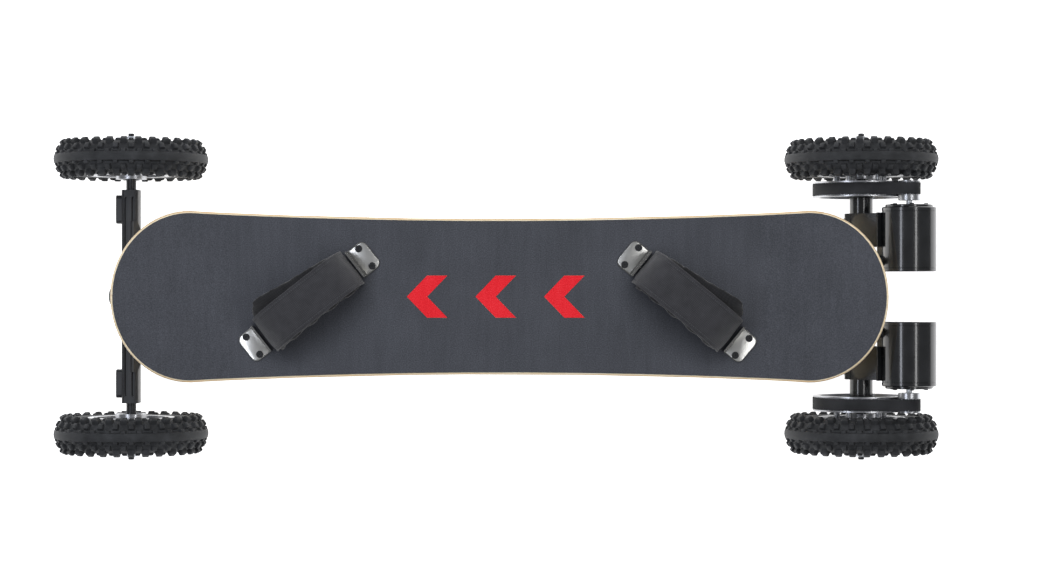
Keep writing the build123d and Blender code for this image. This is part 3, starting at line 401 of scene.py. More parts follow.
# the pad's knit is painted darker than the panel's cloth: painted shade, as the pad lies under the panel
pad_knit_painted_shade = cloth("knit_painted_shade", "#111113", "#202023", 1.6, 0.12, 0.2)
thread = moulded("bonded_thread", "#36373A", 0.7, 0.8, 0.05)

# %% [markdown]
# ## Softened edges
#
# Nothing real has a razor edge: castings have radii, sawn plywood is sanded, and turned parts have a
# small chamfer. A copy of each engineering part is merged, its flat areas are dissolved to single
# faces, and only its sharp edges are bevelled. The bevel catches light and makes a part look solid.


# %% Softened copies
CRISP = math.radians(38)      # edges sharper than this stay crisp under smooth shading


def finished(name, mesh, material, node=None, body=None):
    """Make a piece from a finished mesh: smooth shading with crisp edges, a material and its body."""
    mesh.shade_smooth()
    mesh.set_sharp_from_angle(angle=CRISP)
    mesh.materials.clear()
    mesh.materials.append(material)
    piece = bpy.data.objects.new(name, mesh)
    scene.collection.objects.link(piece)
    if body or node:
        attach(piece, body or BODY_OF[node])
    if node:
        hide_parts(node)
    return piece


def merged(node):
    """A copy of a part with its loose triangles joined and its flat areas dissolved."""
    shape = bmesh.new()
    shape.from_mesh(frame["nodes"][node].data)
    bmesh.ops.remove_doubles(shape, verts=shape.verts, dist=0.002 * MM)
    bmesh.ops.dissolve_limit(shape, angle_limit=math.radians(0.6), verts=shape.verts, edges=shape.edges)
    return shape


def softened(node, width_mm, material, segments=2, sharp=40):
    """Replace a part by a copy whose sharp edges are rounded by width_mm."""
    shape = merged(node)
    edges = [e for e in shape.edges
             if len(e.link_faces) == 2 and e.calc_face_angle(0) > math.radians(sharp)]
    bmesh.ops.bevel(shape, geom=edges, offset=width_mm * MM, offset_type="OFFSET", affect="EDGES",
                    segments=segments, profile=0.5, material=-1, clamp_overlap=True)
    mesh = as_mesh(shape, node + "_finished")
    piece = finished(node + "_finished", mesh, material, node)
    even = piece.modifiers.new("flat_faces_stay_flat", "WEIGHTED_NORMAL")
    even.keep_sharp, even.weight = True, 80
    return piece


def plain(node, material):
    """Keep a part as it is, with its material."""
    mesh = frame["nodes"][node].data
    mesh.materials.clear()
    mesh.materials.append(material)


# %% Rigid parts, their edge radii in millimetres and their materials
SOFTENED = {
    "front_hanger": (1.0, powder_black), "rear_hanger": (0.8, enamel_black),
    "front_baseplate": (0.8, powder_black), "rear_baseplate": (0.8, powder_black),
    "motor_mounts": (0.8, enamel_black),
    "riser_pads": (0.6, soft_rubber), "battery_box": (0.5, abs_plastic), "box_gasket": (0.3, soft_rubber),
    "binding_brackets": (0.5, stainless), "binding_screws": (0.35, black_oxide),
    "box_screws": (0.3, black_oxide), "mount_screws": (0.3, black_oxide), "truck_bolts": (0.3, black_oxide),
    "kingpins": (0.4, zinc_steel), "pivot_cups": (0.3, urethane),
    "charge_socket": (0.25, abs_plastic), "charge_cap": (0.4, soft_rubber),
    "button_bezel": (0.4, zinc_steel), "power_button": (0.3, soft_rubber),
    "front_axle": (0.3, black_oxide), "rear_axle": (0.3, black_oxide),
    "front_axle_nuts": (0.4, zinc_steel), "rear_axle_nuts": (0.4, zinc_steel),
}
for side, _ in SIDES:
    SOFTENED[f"{side}_rotor"] = (0.2, zinc_steel)
    SOFTENED[f"{side}_motor_pulley"] = (0.2, polished_alloy)
    SOFTENED[f"{side}_drive_pulley"] = (0.2, polished_alloy)
    for end in ENDS:
        SOFTENED[f"{end}_{side}_rim"] = (0.5, polished_alloy)
        SOFTENED[f"{end}_{side}_bearings"] = (0.2, zinc_steel)
for node, (width, material) in SOFTENED.items():
    softened(node, width, material)
for node, material in {"grip_tape": grip, "direction_marks": red_grip, "battery_cells": shrink_film,
                       "battery_board": solder_mask, "speed_controller": powder_black,
                       "motor_stators": copper_wire}.items():
    plain(node, material)
for end in ENDS:
    for side, _ in SIDES:
        plain(f"{end}_{side}_inner_tube", soft_rubber)
print("softened parts:", len(SOFTENED))

# %% [markdown]
# ## The deck
#
# The deck's edge is sanded to a 2.6 mm round, which shows from above as a pale line all round the grip.
# The attribute `ply` is worked out at every vertex from the board's side view: flat in the middle,
# then a bend, then a straight slope at both ends.

# %% Deck
deck_low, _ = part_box("deck")
DECK_T, KICK_X, KICK_R, KICK = 12 * MM, 335 * MM, 180 * MM, math.radians(18)
EDGE_ROUND = 2.6 * MM


def height_over_underside(x, z):
    """How far a point stands above the deck's underside, measured square to it."""
    past_flat = abs(x) - KICK_X
    centre_z = deck_low.z + KICK_R
    angle = math.atan2(past_flat, centre_z - z)
    if past_flat <= 0:
        return z - deck_low.z
    if angle < KICK:
        return KICK_R - math.hypot(past_flat, centre_z - z)
    end_x, end_z = KICK_R * math.sin(KICK), deck_low.z + KICK_R * (1 - math.cos(KICK))
    return (z - end_z) * math.cos(KICK) - (past_flat - end_x) * math.sin(KICK)


deck_shape = merged("deck")
rim_edges = [e for e in deck_shape.edges if len(e.link_faces) == 2
             and e.calc_face_angle(0) > math.radians(50) and e.calc_length() > 3 * MM]
bmesh.ops.bevel(deck_shape, geom=rim_edges, offset=EDGE_ROUND, offset_type="OFFSET", affect="EDGES",
                segments=4, profile=0.5, material=-1, clamp_overlap=False)
ply = deck_shape.verts.layers.float.new("ply")
for vertex in deck_shape.verts:
    vertex[ply] = height_over_underside(vertex.co.x, vertex.co.z) / DECK_T
deck_mesh = as_mesh(deck_shape, "deck_board")
finished("deck_board", deck_mesh, maple, "deck")
print("deck faces:", len(deck_mesh.polygons))

# %% [markdown]
# ## Tyres
#
# An off-road tyre is a round carcass with a smooth running band in the middle, and on each side a row
# of wedges and a row of square shoulder blocks, set half a pitch apart. The carcass is one profile
# spun round the axle. A block starts as a cube, is tapered and bevelled, and is then copied round.

# %% Tyre carcass
TYRE_R, SECTION_MID, BLOCKS = 100 * MM, 74 * MM, 30


def carcass_point(angle):
    """Across and outward place on the carcass, at an angle from the crown: a slightly square round."""
    return (21.8 * MM * math.copysign(abs(math.sin(angle)) ** 0.9, angle),
            SECTION_MID + 21.5 * MM * math.copysign(abs(math.cos(angle)) ** 0.85, math.cos(angle)))


def tyre_profile():
    """The outline of the tyre's section, from one bead round the crown to the other."""
    bead = [(12.5, 50), (17.8, 50.5), (17.8, 57.5)]
    band = [(-6.2, 96.2), (-5.2, 98.9), (-2.6, 99.6), (0, 99.8), (2.6, 99.6), (5.2, 98.9), (6.2, 96.2)]
    walls = [carcass_point(math.radians(step * 7.6)) for step in range(-15, 16)]
    walls = [(v / MM, r / MM) for v, r in walls if abs(v) > band[-1][0] * MM]
    left = [p for p in walls if p[0] < 0]
    right = [p for p in walls if p[0] > 0]
    return [(-v, r) for v, r in bead] + left + band + right + bead[::-1]


def block(shape, angle, turn, size, taper, lift):
    """One tread block, standing on the carcass at an angle from the crown, and turned round the axle."""
    before = set(shape.verts)
    bmesh.ops.create_cube(shape, size=1)
    corners = [v for v in shape.verts if v not in before]
    for corner in corners:
        if corner.co.z > 0:
            corner.co.x *= taper[0]
            corner.co.y *= taper[1]
    top = [e for e in shape.edges if all(v in corners and v.co.z > 0 for v in e.verts)]
    bmesh.ops.bevel(shape, geom=top, offset=0.14, offset_type="OFFSET", affect="EDGES", segments=1, profile=0.5,
                    material=-1)
    made = [v for v in shape.verts if v not in before]
    across, out = carcass_point(angle)
    stand = (Matrix.Rotation(turn, 4, "Y") @ Matrix.Translation((0, across, out))
             @ Matrix.Rotation(-angle, 4, "X") @ Matrix.Translation((0, 0, lift * MM))
             @ Matrix.Diagonal((size[1] * MM, size[0] * MM, size[2] * MM, 1)))
    bmesh.ops.transform(shape, matrix=stand, verts=made)


tyre_shape = bmesh.new()
ring = [tyre_shape.verts.new((0, v * MM, r * MM)) for v, r in tyre_profile()]
loop = [tyre_shape.edges.new((a, b)) for a, b in zip(ring, ring[1:] + ring[:1])]
bmesh.ops.spin(tyre_shape, geom=ring + loop, cent=(0, 0, 0), axis=(0, 1, 0), angle=math.tau, steps=128,
               use_merge=True)
bmesh.ops.remove_doubles(tyre_shape, verts=tyre_shape.verts, dist=WELD)
bmesh.ops.recalc_face_normals(tyre_shape, faces=tyre_shape.faces)

# %% Tread blocks
pitch = math.tau / BLOCKS
# degrees from the crown, shift in pitches, size across, along and high, taper, and lift in millimetres
ROWS = [(15, 0.0, (6.5, 8.0, 4.6), (0.7, 0.62), 1.1),      # teeth on the edge of the running band
        (33, 0.5, (8.0, 7.6, 5.2), (0.8, 0.86), 1.6),      # wedges
        (58, 0.0, (8.0, 9.0, 7.6), (0.9, 0.9), 2.4),       # shoulder blocks
        (80, 0.5, (6.0, 7.2, 3.2), (0.75, 0.8), 0.9)]      # side lugs
for n in range(BLOCKS):
    for side in (-1, 1):
        for degrees, shift, size, taper, lift in ROWS:
            turn = (n + 0.25 * side + shift) * pitch
            block(tyre_shape, side * math.radians(degrees), turn, size, taper, lift)
farthest = max(math.hypot(v.co.x, v.co.z) for v in tyre_shape.verts)
squeeze = TYRE_R / farthest
bmesh.ops.scale(tyre_shape, vec=(squeeze, 1, squeeze), verts=tyre_shape.verts)
print("tyre faces:", len(tyre_shape.faces), "squeeze:", round(squeeze, 4))

# %% Four tyres
for end in ENDS:
    for side, _ in SIDES:
        node = f"{end}_{side}_tyre"
        mesh = bpy.data.meshes.new(node + "_tread")
        tyre_shape.to_mesh(mesh)
        turn = Matrix.Rotation(math.pi if side == "left" else 0, 4, "Z")
        mesh.transform(Matrix.Translation(middle_of(node)) @ turn)
        finished(node + "_tread", mesh, tyre_rubber, node)
tyre_shape.free()

# %% [markdown]
# ## Drive belts
#
# A toothed belt has a flat back and round teeth inside, 5 mm apart. It runs round both pulleys and
# along the two straight lines that touch them. Walking round that path, a small bump is added
# inwards once in every pitch, and the outline is drawn out to the belt's width.

# %% Belt path
PITCH, WHEEL_TEETH, MOTOR_TEETH = 5 * MM, 78, 17
BELT_W, BELT_BACK, BELT_WEB, TOOTH_DEPTH = 15 * MM, 1.1 * MM, 0.35 * MM, 1.9 * MM
TOOTH_STEPS, TOOTH_START, TOOTH_END = 8, 0.1, 0.72      # how finely a pitch is drawn; the tooth's share of it


def belt_path(centre, far, radius, far_radius):
    """Points and outward normals round two pulleys, in X and Z, evenly spaced."""
    line = far - centre
    reach = line.length
    lean = math.acos((radius - far_radius) / reach)
    base = math.atan2(line.y, line.x)
    samples = []
    for hub, size, start, stop in ((centre, radius, base + lean, base + math.tau - lean),
                                   (far, far_radius, base - lean, base + lean)):
        for n in range(241):
            a = start + (stop - start) * n / 240
            normal = Vector((math.cos(a), math.sin(a)))
            samples.append((hub + normal * size, normal))
    samples.append(samples[0])
    lengths = [0.0]
    for (a, _), (b, _) in zip(samples, samples[1:]):
        lengths.append(lengths[-1] + (b - a).length)
    return samples, lengths


def along(samples, lengths, distance):
    """The point and normal at a distance along the path."""
    n = max(i for i, reached in enumerate(lengths) if reached <= distance + 1e-12)
    n = min(n, len(samples) - 2)
    share = (distance - lengths[n]) / max(lengths[n + 1] - lengths[n], 1e-12)
    point = samples[n][0].lerp(samples[n + 1][0], share)
    return point, samples[n][1].lerp(samples[n + 1][1], share).normalized()


_, belt_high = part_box("drive_belts")
for side, sign in SIDES:
    wheel_mid, motor_mid = middle_of(f"{side}_drive_pulley"), middle_of(f"{side}_motor_pulley")
    path = belt_path(wheel_mid.xz, motor_mid.xz, WHEEL_TEETH * PITCH / math.tau,
                     MOTOR_TEETH * PITCH / math.tau)
    total = path[1][-1]
    teeth = round(total / PITCH)
    steps = teeth * TOOTH_STEPS
    belt_shape = bmesh.new()
    outer, inner = [], []
    for n in range(steps):
        point, normal = along(*path, total * n / steps)
        phase = (n % TOOTH_STEPS) / TOOTH_STEPS
        rise = (phase - TOOTH_START) / (TOOTH_END - TOOTH_START)
        tooth = max(0.0, math.sin(math.pi * rise)) if 0 < rise < 1 else 0.0
        back, front = point + normal * BELT_BACK, point - normal * (BELT_WEB + tooth * TOOTH_DEPTH)
        outer.append(belt_shape.verts.new((back.x, belt_high.y - BELT_W, back.y)))
        inner.append(belt_shape.verts.new((front.x, belt_high.y - BELT_W, front.y)))
    for n in range(steps):
        m = (n + 1) % steps
        belt_shape.faces.new((outer[n], outer[m], inner[m], inner[n]))
    walls = bmesh.ops.extrude_face_region(belt_shape, geom=list(belt_shape.faces))
    moved = [g for g in walls["geom"] if isinstance(g, bmesh.types.BMVert)]
    bmesh.ops.translate(belt_shape, vec=(0, BELT_W, 0), verts=moved)
    bmesh.ops.scale(belt_shape, vec=(1, sign, 1), verts=belt_shape.verts)
    bmesh.ops.recalc_face_normals(belt_shape, faces=belt_shape.faces)
    mesh = as_mesh(belt_shape, f"{side}_toothed_belt")
    belt = finished(f"{side}_toothed_belt", mesh, neoprene, None, "rear_truck")
    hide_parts("drive_belts")
print("belt teeth:", teeth, "belt length mm:", round(total / MM, 1))

# %% [markdown]
# ## Foot straps
#
# Each strap is a cloth-covered foam panel that arches over the shoe between two steel brackets. Its
# side view is a rounded arch with almost upright legs, close to a superellipse, so one formula gives
# the place of every point. Under the panel lies a thicker soft pad, which flares out on the side of
# the ankle. The panel is modelled directly, and the pad is inflated by a cloth simulation.

# %% The arch
ARCH_HALF, ARCH_TOP = 74.6 * MM, 66 * MM
ARCH_STEPS = 400
STRAP_TURN = {"front": math.atan2(111.6, 142), "rear": math.atan2(-111.6, 136)}      # about 38 and -39 degrees
_, marks_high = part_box("direction_marks")
FOOT_Z = marks_high.z


def arch_table(inset):
    """Side view of the arch, moved inwards: points, outward normals and lengths from one foot."""
    a, b = ARCH_HALF - inset, ARCH_TOP - inset
    points = []
    for n in range(ARCH_STEPS + 1):
        t = math.pi * (1 - n / ARCH_STEPS)
        c, s = math.cos(t), math.sin(t)
        points.append(Vector((a * math.copysign(abs(c) ** (2 / 3.4), c), b * s ** (2 / 2.5))))
    lengths = [0.0]
    for p, q in zip(points, points[1:]):
        lengths.append(lengths[-1] + (q - p).length)
    normals = []
    for n in range(ARCH_STEPS + 1):
        way = (points[min(n + 1, ARCH_STEPS)] - points[max(n - 1, 0)]).normalized()
        normals.append(Vector((-way.y, way.x)))
    return points, normals, lengths


def arch_at(table, share):
    """Point and normal at a share, 0 to 1, of the arch's length."""
    points, normals, lengths = table
    wanted = share * lengths[-1]
    n = next((i for i in range(ARCH_STEPS) if lengths[i + 1] >= wanted), ARCH_STEPS - 1)
    part = (wanted - lengths[n]) / max(lengths[n + 1] - lengths[n], 1e-12)
    return points[n].lerp(points[n + 1], part), normals[n].lerp(normals[n + 1], part).normalized()


def foot_matrix(end):
    """From a binding's own frame, along and across the strap, to the board."""
    middle = middle_of(f"{end}_binding_strap")
    return Matrix.Translation((middle.x, middle.y, FOOT_Z)) @ Matrix.Rotation(STRAP_TURN[end], 4, "Z")


def arch_sheet(shape, table, low_share, high_share, edge_low, edge_high, cells):
    """A grid laid over the arch. edge_low and edge_high give its two sides at a place along it."""
    uv = shape.loops.layers.uv.new("cloth")
    bmesh.ops.create_grid(shape, x_segments=cells[0], y_segments=cells[1], size=0.5)
    length = table[2][-1] * (high_share - low_share)
    flat = {}
    for vertex in shape.verts:
        u, w = vertex.co.x + 0.5, vertex.co.y + 0.5
        point, normal = arch_at(table, low_share + (high_share - low_share) * u)
        low, high = edge_low(point.x), edge_high(point.x)
        across = low + (high - low) * w
        flat[vertex] = (u * length, across)
        vertex.co = (point.x, across, point.y)
    for face in shape.faces:
        for corner in face.loops:
            corner[uv].uv = flat[corner.vert]


def outward(shape):
    """Turn the sheet's faces so that they look up and out."""
    shape.normal_update()
    if sum(f.normal.z for f in shape.faces) < 0:
        bmesh.ops.reverse_faces(shape, faces=shape.faces)
        shape.normal_update()


# %% Strap panels
STRAP_HALF, STRAP_T, SEAM = 26 * MM, 3.4 * MM, 4.5 * MM
panel_table = arch_table(STRAP_T)
for end in ENDS:
    shape = bmesh.new()
    arch_sheet(shape, panel_table, 0.02, 0.98, lambda p: -STRAP_HALF, lambda p: STRAP_HALF, (110, 20))
    outward(shape)
    base = {v: v.normal.copy() for v in shape.verts}
    for vertex in shape.verts:
        # bound edges stand a little proud, and the foam crowns between them
        to_edge = STRAP_HALF - abs(vertex.co.y)
        crown = 0.9 * MM * math.sin(min(1, to_edge / STRAP_HALF) * math.pi / 2)
        valley = -0.7 * MM * math.exp(-((to_edge - SEAM) / (1.1 * MM)) ** 2)
        ripple = 0.25 * MM * math.sin(vertex.co.x * 310 + 2 * math.sin(vertex.co.y * 160))
        vertex.co += base[vertex] * (crown + valley + ripple)
    bmesh.ops.recalc_face_normals(shape, faces=shape.faces)
    outward(shape)
    mesh = as_mesh(shape, f"{end}_strap_panel", foot_matrix(end))
    panel = finished(f"{end}_strap_panel", mesh, strap_cloth, f"{end}_binding_strap")
    solid = panel.modifiers.new("thickness", "SOLIDIFY")
    solid.thickness, solid.offset = 3.0 * MM, -1
    rounded = panel.modifiers.new("rounded", "BEVEL")
    rounded.width, rounded.segments, rounded.limit_method = 0.8 * MM, 2, "ANGLE"

# %% Stitching along both edges of each panel
STITCHES = 58
stitch_table = arch_table(0)
for end in ENDS:
    shape = bmesh.new()
    for row in (-1, 1):
        for n in range(STITCHES):
            share = 0.13 + 0.74 * n / (STITCHES - 1)
            point, normal = arch_at(stitch_table, share)
            ahead, _ = arch_at(stitch_table, share + 0.004)
            way = (ahead - point).normalized()
            made = bmesh.ops.create_icosphere(shape, subdivisions=1, radius=1)["verts"]
            axes = Matrix(((way.x, 0, normal.x), (0, 1, 0), (way.y, 0, normal.y))).to_4x4()
            spot = Matrix.Translation((point.x, row * (STRAP_HALF - SEAM), point.y)) @ axes
            loop = Matrix.Diagonal((1.25 * MM, 0.45 * MM, 0.35 * MM, 1))
            spot = spot @ Matrix.Translation((0, 0, -0.15 * MM)) @ loop
            bmesh.ops.transform(shape, matrix=spot, verts=made)
    bmesh.ops.recalc_face_normals(shape, faces=shape.faces)
    mesh = as_mesh(shape, f"{end}_strap_stitches", foot_matrix(end))
    finished(f"{end}_strap_stitches", mesh, thread, None, "board")

# %% [markdown]
# ## Inflated pads
#
# The pad starts as a slightly thin closed shape. Voxel remeshing gives it even faces, and Blender's
# cloth, with some pressure and no gravity, swells it until the cover is tight. How far a point may
# move is capped, because a real cover can't stretch. Remeshing removes the UV map, so a new one is
# laid on from above afterwards.

# %% Pads
PAD_T, PAD_LIP, PAD_VOXEL = 7.0 * MM, 1.5 * MM, 2.6 * MM
pad_table = arch_table(STRAP_T + 0.6 * MM + PAD_T / 2)


def swell(piece, pressure, cap, steps=18):
    """Inflate a closed mesh with the cloth simulation, and cap how far each point moves."""
    before = [v.co.copy() for v in piece.data.vertices]
    sim = piece.modifiers.new("inflate", "CLOTH")
    sim.settings.quality = 6
    sim.settings.mass = 0.2
    sim.settings.use_pressure = True
    sim.settings.uniform_pressure_force = pressure
    sim.settings.effector_weights.gravity = 0
    sim.collision_settings.use_collision = False
    for number in range(1, steps + 1):
        scene.frame_set(number)
    moved = piece.evaluated_get(bpy.context.evaluated_depsgraph_get()).data
    after = [v.co.copy() for v in moved.vertices]
    piece.modifiers.remove(sim)
    scene.frame_set(1)
    for vertex, start, end in zip(piece.data.vertices, before, after):
        step = end - start
        vertex.co = start + step * min(1, cap / max(step.length, 1e-9))


for end in ENDS:
    outer_side = -1 if end == "front" else 1

    def flare(p):
        """The pad's ankle side: widest near the outer bracket, tapering to the inner one."""
        share = p * outer_side / ARCH_HALF
        rise = min(1, max(0, (0.98 - share) / 0.3))
        rise = rise * rise * (3 - 2 * rise)
        return STRAP_HALF + PAD_LIP + 15.5 * MM * rise * max(0, min(1, (share + 0.85) / 1.5)) ** 1.1

    shape = bmesh.new()
    arch_sheet(shape, pad_table, 0.1, 0.9, lambda p: (-28.4 + 0.7 * math.sin(p * 210)) * MM, flare,
               (90, 24))
    outward(shape)
    for vertex in shape.verts:
        # a shallow groove beside the panel's edge, where the pad is sewn to it
        beside = abs(vertex.co.y) - STRAP_HALF - PAD_LIP
        vertex.co -= vertex.normal * 2.4 * MM * math.exp(-(beside / (2.2 * MM)) ** 2)
    bmesh.ops.solidify(shape, geom=list(shape.faces), thickness=PAD_T * 0.8)
    bmesh.ops.recalc_face_normals(shape, faces=shape.faces)
    mesh = as_mesh(shape, f"{end}_strap_padding")
    pad = bpy.data.objects.new(f"{end}_strap_padding", mesh)
    scene.collection.objects.link(pad)
    cover = pad.modifiers.new("cover", "REMESH")
    cover.mode, cover.voxel_size = "VOXEL", PAD_VOXEL
    even = bpy.data.meshes.new_from_object(pad.evaluated_get(bpy.context.evaluated_depsgraph_get()))
    pad.modifiers.clear()
    pad.data = even
    even.name = f"{end}_strap_padding"
    swell(pad, 3.0, 2.2 * MM)
    pad_shape = bmesh.new()
    pad_shape.from_mesh(pad.data)
    # the cover stays below the panel
    for vertex in pad_shape.verts:
        ceiling, normal = min(((p, nrm) for p, nrm in zip(panel_table[0][::4], panel_table[1][::4])),
                              key=lambda pair: (pair[0] - vertex.co.xz).length)
        over = (vertex.co.xz - ceiling).dot(normal) + 0.7 * MM
        if over > 0 and abs(vertex.co.y) < STRAP_HALF + PAD_LIP:
            vertex.co.x -= normal.x * over
            vertex.co.z -= normal.y * over
    bmesh.ops.smooth_vert(pad_shape, verts=pad_shape.verts, factor=0.5, use_axis_x=True, use_axis_y=True,
                          use_axis_z=True)
    cloth_uv = pad_shape.loops.layers.uv.get("cloth") or pad_shape.loops.layers.uv.new("cloth")
    for face in pad_shape.faces:
        for corner in face.loops:
            spot = corner.vert.co
            corner[cloth_uv].uv = (spot.x + spot.z, spot.y + spot.z * 0.3)
    mesh = as_mesh(pad_shape, f"{end}_strap_padding")
    bpy.data.objects.remove(pad)
    mesh.transform(foot_matrix(end))
    # the pad's darker knit is painted shade
    pad = finished(f"{end}_strap_padding", mesh, pad_knit_painted_shade, f"{end}_binding_pad")
    for edge in mesh.edges:
        edge.use_edge_sharp = False
    print(end, "pad faces:", len(mesh.polygons))

# %% [markdown]
# ## Bushings and motor cables
#
# Two kinds of part bend when the trucks steer. The urethane bushings are squeezed between the board's
# washers and the hanger's ring, and the motor cables run from the box, which belongs to the board, to
# the motors, which turn with the truck. A bushing is turned from a short profile with a waist.

# %% Bushings
STEER, AXLE_OFFSET, RING = math.radians(40), 16 * MM, -34 * MM
RING_HALF, TOP_BUSHING, LOW_BUSHING = 5 * MM, 15 * MM, 13 * MM
FULL_R, WAIST_R, BORE_R, ROUND = 12.9 * MM, 11.6 * MM, 5.3 * MM, 0.6 * MM
# radius, and share of the bushing's height
BUSHING_PROFILE = [(BORE_R, 0.0), (FULL_R - ROUND, 0.0), (FULL_R, 0.06), (FULL_R, 0.18), (WAIST_R, 0.32),
                   (WAIST_R, 0.68), (FULL_R, 0.82), (FULL_R, 0.94), (FULL_R - ROUND, 1.0), (BORE_R, 1.0)]
for end, sign in (("front", -1), ("rear", 1)):
    axle = middle_of(f"{end}_axle")
    up = Vector((-sign * math.sin(STEER), 0, math.cos(STEER)))
    out = Vector((sign * math.cos(STEER), 0, math.sin(STEER)))
    ring_middle = Vector((axle.x, 0, axle.z)) + up * AXLE_OFFSET + out * RING
    for name, near, height in (("top", RING_HALF, TOP_BUSHING), ("lower", -RING_HALF, -LOW_BUSHING)):
        shape = lathe([(r, near + height * share) for r, share in BUSHING_PROFILE], "Z", 48)
        bmesh.ops.recalc_face_normals(shape, faces=shape.faces)
        mesh = as_mesh(shape, f"{end}_{name}_bushing",
                       Matrix.Translation(ring_middle) @ up.to_track_quat("Z", "Y").to_matrix().to_4x4())
        bushing = finished(f"{end}_{name}_bushing", mesh, urethane)
        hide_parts("bushings")
        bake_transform(bushing)

# %% Motor cables
can_low, can_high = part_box("motor_cans")
motor = middle_of("right_motor_pulley")
CABLE_R = 4.5 * MM
ROUTE = [(260, 36, 127), (292, 36, 127), (340, 40, 134), (388, 48, 143), (430, 50, 152), (462, 46, 157.5),
         (can_low.x / MM, 46, 157.5)]
for side, sign in SIDES:
    line = bpy.data.curves.new(f"{side}_motor_cable", "CURVE")
    line.dimensions = "3D"
    spline = line.splines.new("NURBS")
    spline.points.add(len(ROUTE) - 1)
    for point, (x, y, z) in zip(spline.points, ROUTE):
        point.co = (x * MM, sign * y * MM, z * MM, 1)
    spline.order_u = 3
    spline.use_endpoint_u = True
    spline.resolution_u = 12
    line.bevel_depth, line.bevel_resolution, line.use_fill_caps = CABLE_R, 6, True
    rope = bpy.data.objects.new("rope", line)
    scene.collection.objects.link(rope)
    mesh = bpy.data.meshes.new_from_object(rope.evaluated_get(bpy.context.evaluated_depsgraph_get()))
    bpy.data.objects.remove(rope)
    mesh.name = f"{side}_motor_cable"
    cable = finished(f"{side}_motor_cable", mesh, cable_jacket)
    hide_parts("motor_cables")
    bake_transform(cable)

# %% [markdown]
# ## Small fittings
#
# A few details finish the hardware: the raised bead pressed round each strap bracket, in a lighter
# steel that is a painted highlight, and the ring of cap screws that holds each motor's end cover.

# %% Raised beads on the brackets
BEAD_IN, BEAD_OUT, BEAD_HALF, BEAD_CORNER = 79.5 * MM, 102.4 * MM, 18.8 * MM, 7.4 * MM
for end in ENDS:
    shape = bmesh.new()
    for sign in (-1, 1):
        corners = [(BEAD_IN, -BEAD_HALF)]
        for start, cy in ((-90, BEAD_CORNER - BEAD_HALF), (0, BEAD_HALF - BEAD_CORNER)):
            for n in range(9):
                a = math.radians(start + 90 * n / 8)
                corners.append((BEAD_OUT - BEAD_CORNER + BEAD_CORNER * math.cos(a),
                                cy + BEAD_CORNER * math.sin(a)))
        corners.append((BEAD_IN, BEAD_HALF))
        outline = [shape.verts.new((sign * x, y, 2.5 * MM)) for x, y in corners]
        face = shape.faces.new(outline)
        face.normal_update()
        if face.normal.z < 0:
            face.normal_flip()
        bmesh.ops.inset_region(shape, faces=[face], thickness=1.9 * MM)
        centre = [f for f in shape.faces if all(abs(v.co.y) < BEAD_HALF - 1 * MM for v in f.verts)
                  and f.calc_center_median().x * sign > 0]
        bmesh.ops.delete(shape, geom=centre, context="FACES_ONLY")
    walls = bmesh.ops.extrude_face_region(shape, geom=list(shape.faces))
    lifted = [g for g in walls["geom"] if isinstance(g, bmesh.types.BMVert)]
    bmesh.ops.translate(shape, vec=(0, 0, 0.9 * MM), verts=lifted)
    top = [e for e in shape.edges if all(v.co.z > 3.3 * MM for v in e.verts) and e.calc_face_angle(0) > 0.9]
    bmesh.ops.bevel(shape, geom=top, offset=0.6 * MM, offset_type="OFFSET", affect="EDGES", segments=2,
                    profile=0.5, material=-1)
    bmesh.ops.recalc_face_normals(shape, faces=shape.faces)
    mesh = as_mesh(shape, f"{end}_bracket_beads", foot_matrix(end))
    # the bead's lighter steel is a painted highlight along the pressed bead
    finished(f"{end}_bracket_beads", mesh, bead_painted_highlight_steel, None, "board")

# %% [markdown]
# ## Motor cans
#
# Each can is a steel tube with a turned end cap at both ends, sprayed with gloss enamel. Long even
# highlights show every flat spot on such a tube, so it is spun again from its profile in fine steps.
# The profile has a small step at the outer cap, a thin joint line near each end, and rounded edges.

# %% Motor cans
can_radius = (can_high.z - can_low.z) / 2
can_inner, can_outer = 32 * MM, can_high.y
CAP_R, SHAFT_HOLE = 30.5 * MM, 4.6 * MM
turned = [(SHAFT_HOLE, can_outer), (CAP_R - 0.8 * MM, can_outer), (CAP_R, can_outer - 0.8 * MM),
          (CAP_R, can_outer - 3 * MM), (can_radius - 1.2 * MM, can_outer - 3 * MM),
          (can_radius, can_outer - 4.2 * MM), (can_radius, can_outer - 8 * MM),
          (can_radius - 0.5 * MM, can_outer - 8.3 * MM), (can_radius - 0.5 * MM, can_outer - 8.9 * MM),
          (can_radius, can_outer - 9.2 * MM), (can_radius, can_inner + 5.2 * MM),
          (can_radius - 0.5 * MM, can_inner + 4.9 * MM), (can_radius - 0.5 * MM, can_inner + 4.3 * MM),
          (can_radius, can_inner + 4 * MM), (can_radius, can_inner + 0.9 * MM),
          (can_radius - 0.9 * MM, can_inner), (0.0, can_inner)]
shape = lathe(turned, "Y", 144, closed=False)
gland = bmesh.ops.create_cone(shape, cap_ends=True, segments=40, radius1=7 * MM, radius2=6.4 * MM,
                              depth=8 * MM)["verts"]
stand = Matrix.Translation((-can_radius - 2 * MM, can_inner + 14 * MM, 0))
stand = stand @ Matrix.Rotation(-math.pi / 2, 4, "Y")
bmesh.ops.transform(shape, matrix=stand, verts=gland)
bmesh.ops.recalc_face_normals(shape, faces=shape.faces)
for side, sign in SIDES:
    mesh = bpy.data.meshes.new(f"{side}_motor_can")
    shape.to_mesh(mesh)
    mesh.transform(Matrix.Translation((motor.x, 0, motor.z)) @ Matrix.Diagonal((1, sign, 1, 1)))
    if sign < 0:
        mesh.flip_normals()
    can = finished(f"{side}_motor_can", mesh, enamel_black, None, "rear_truck")
    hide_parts("motor_cans")
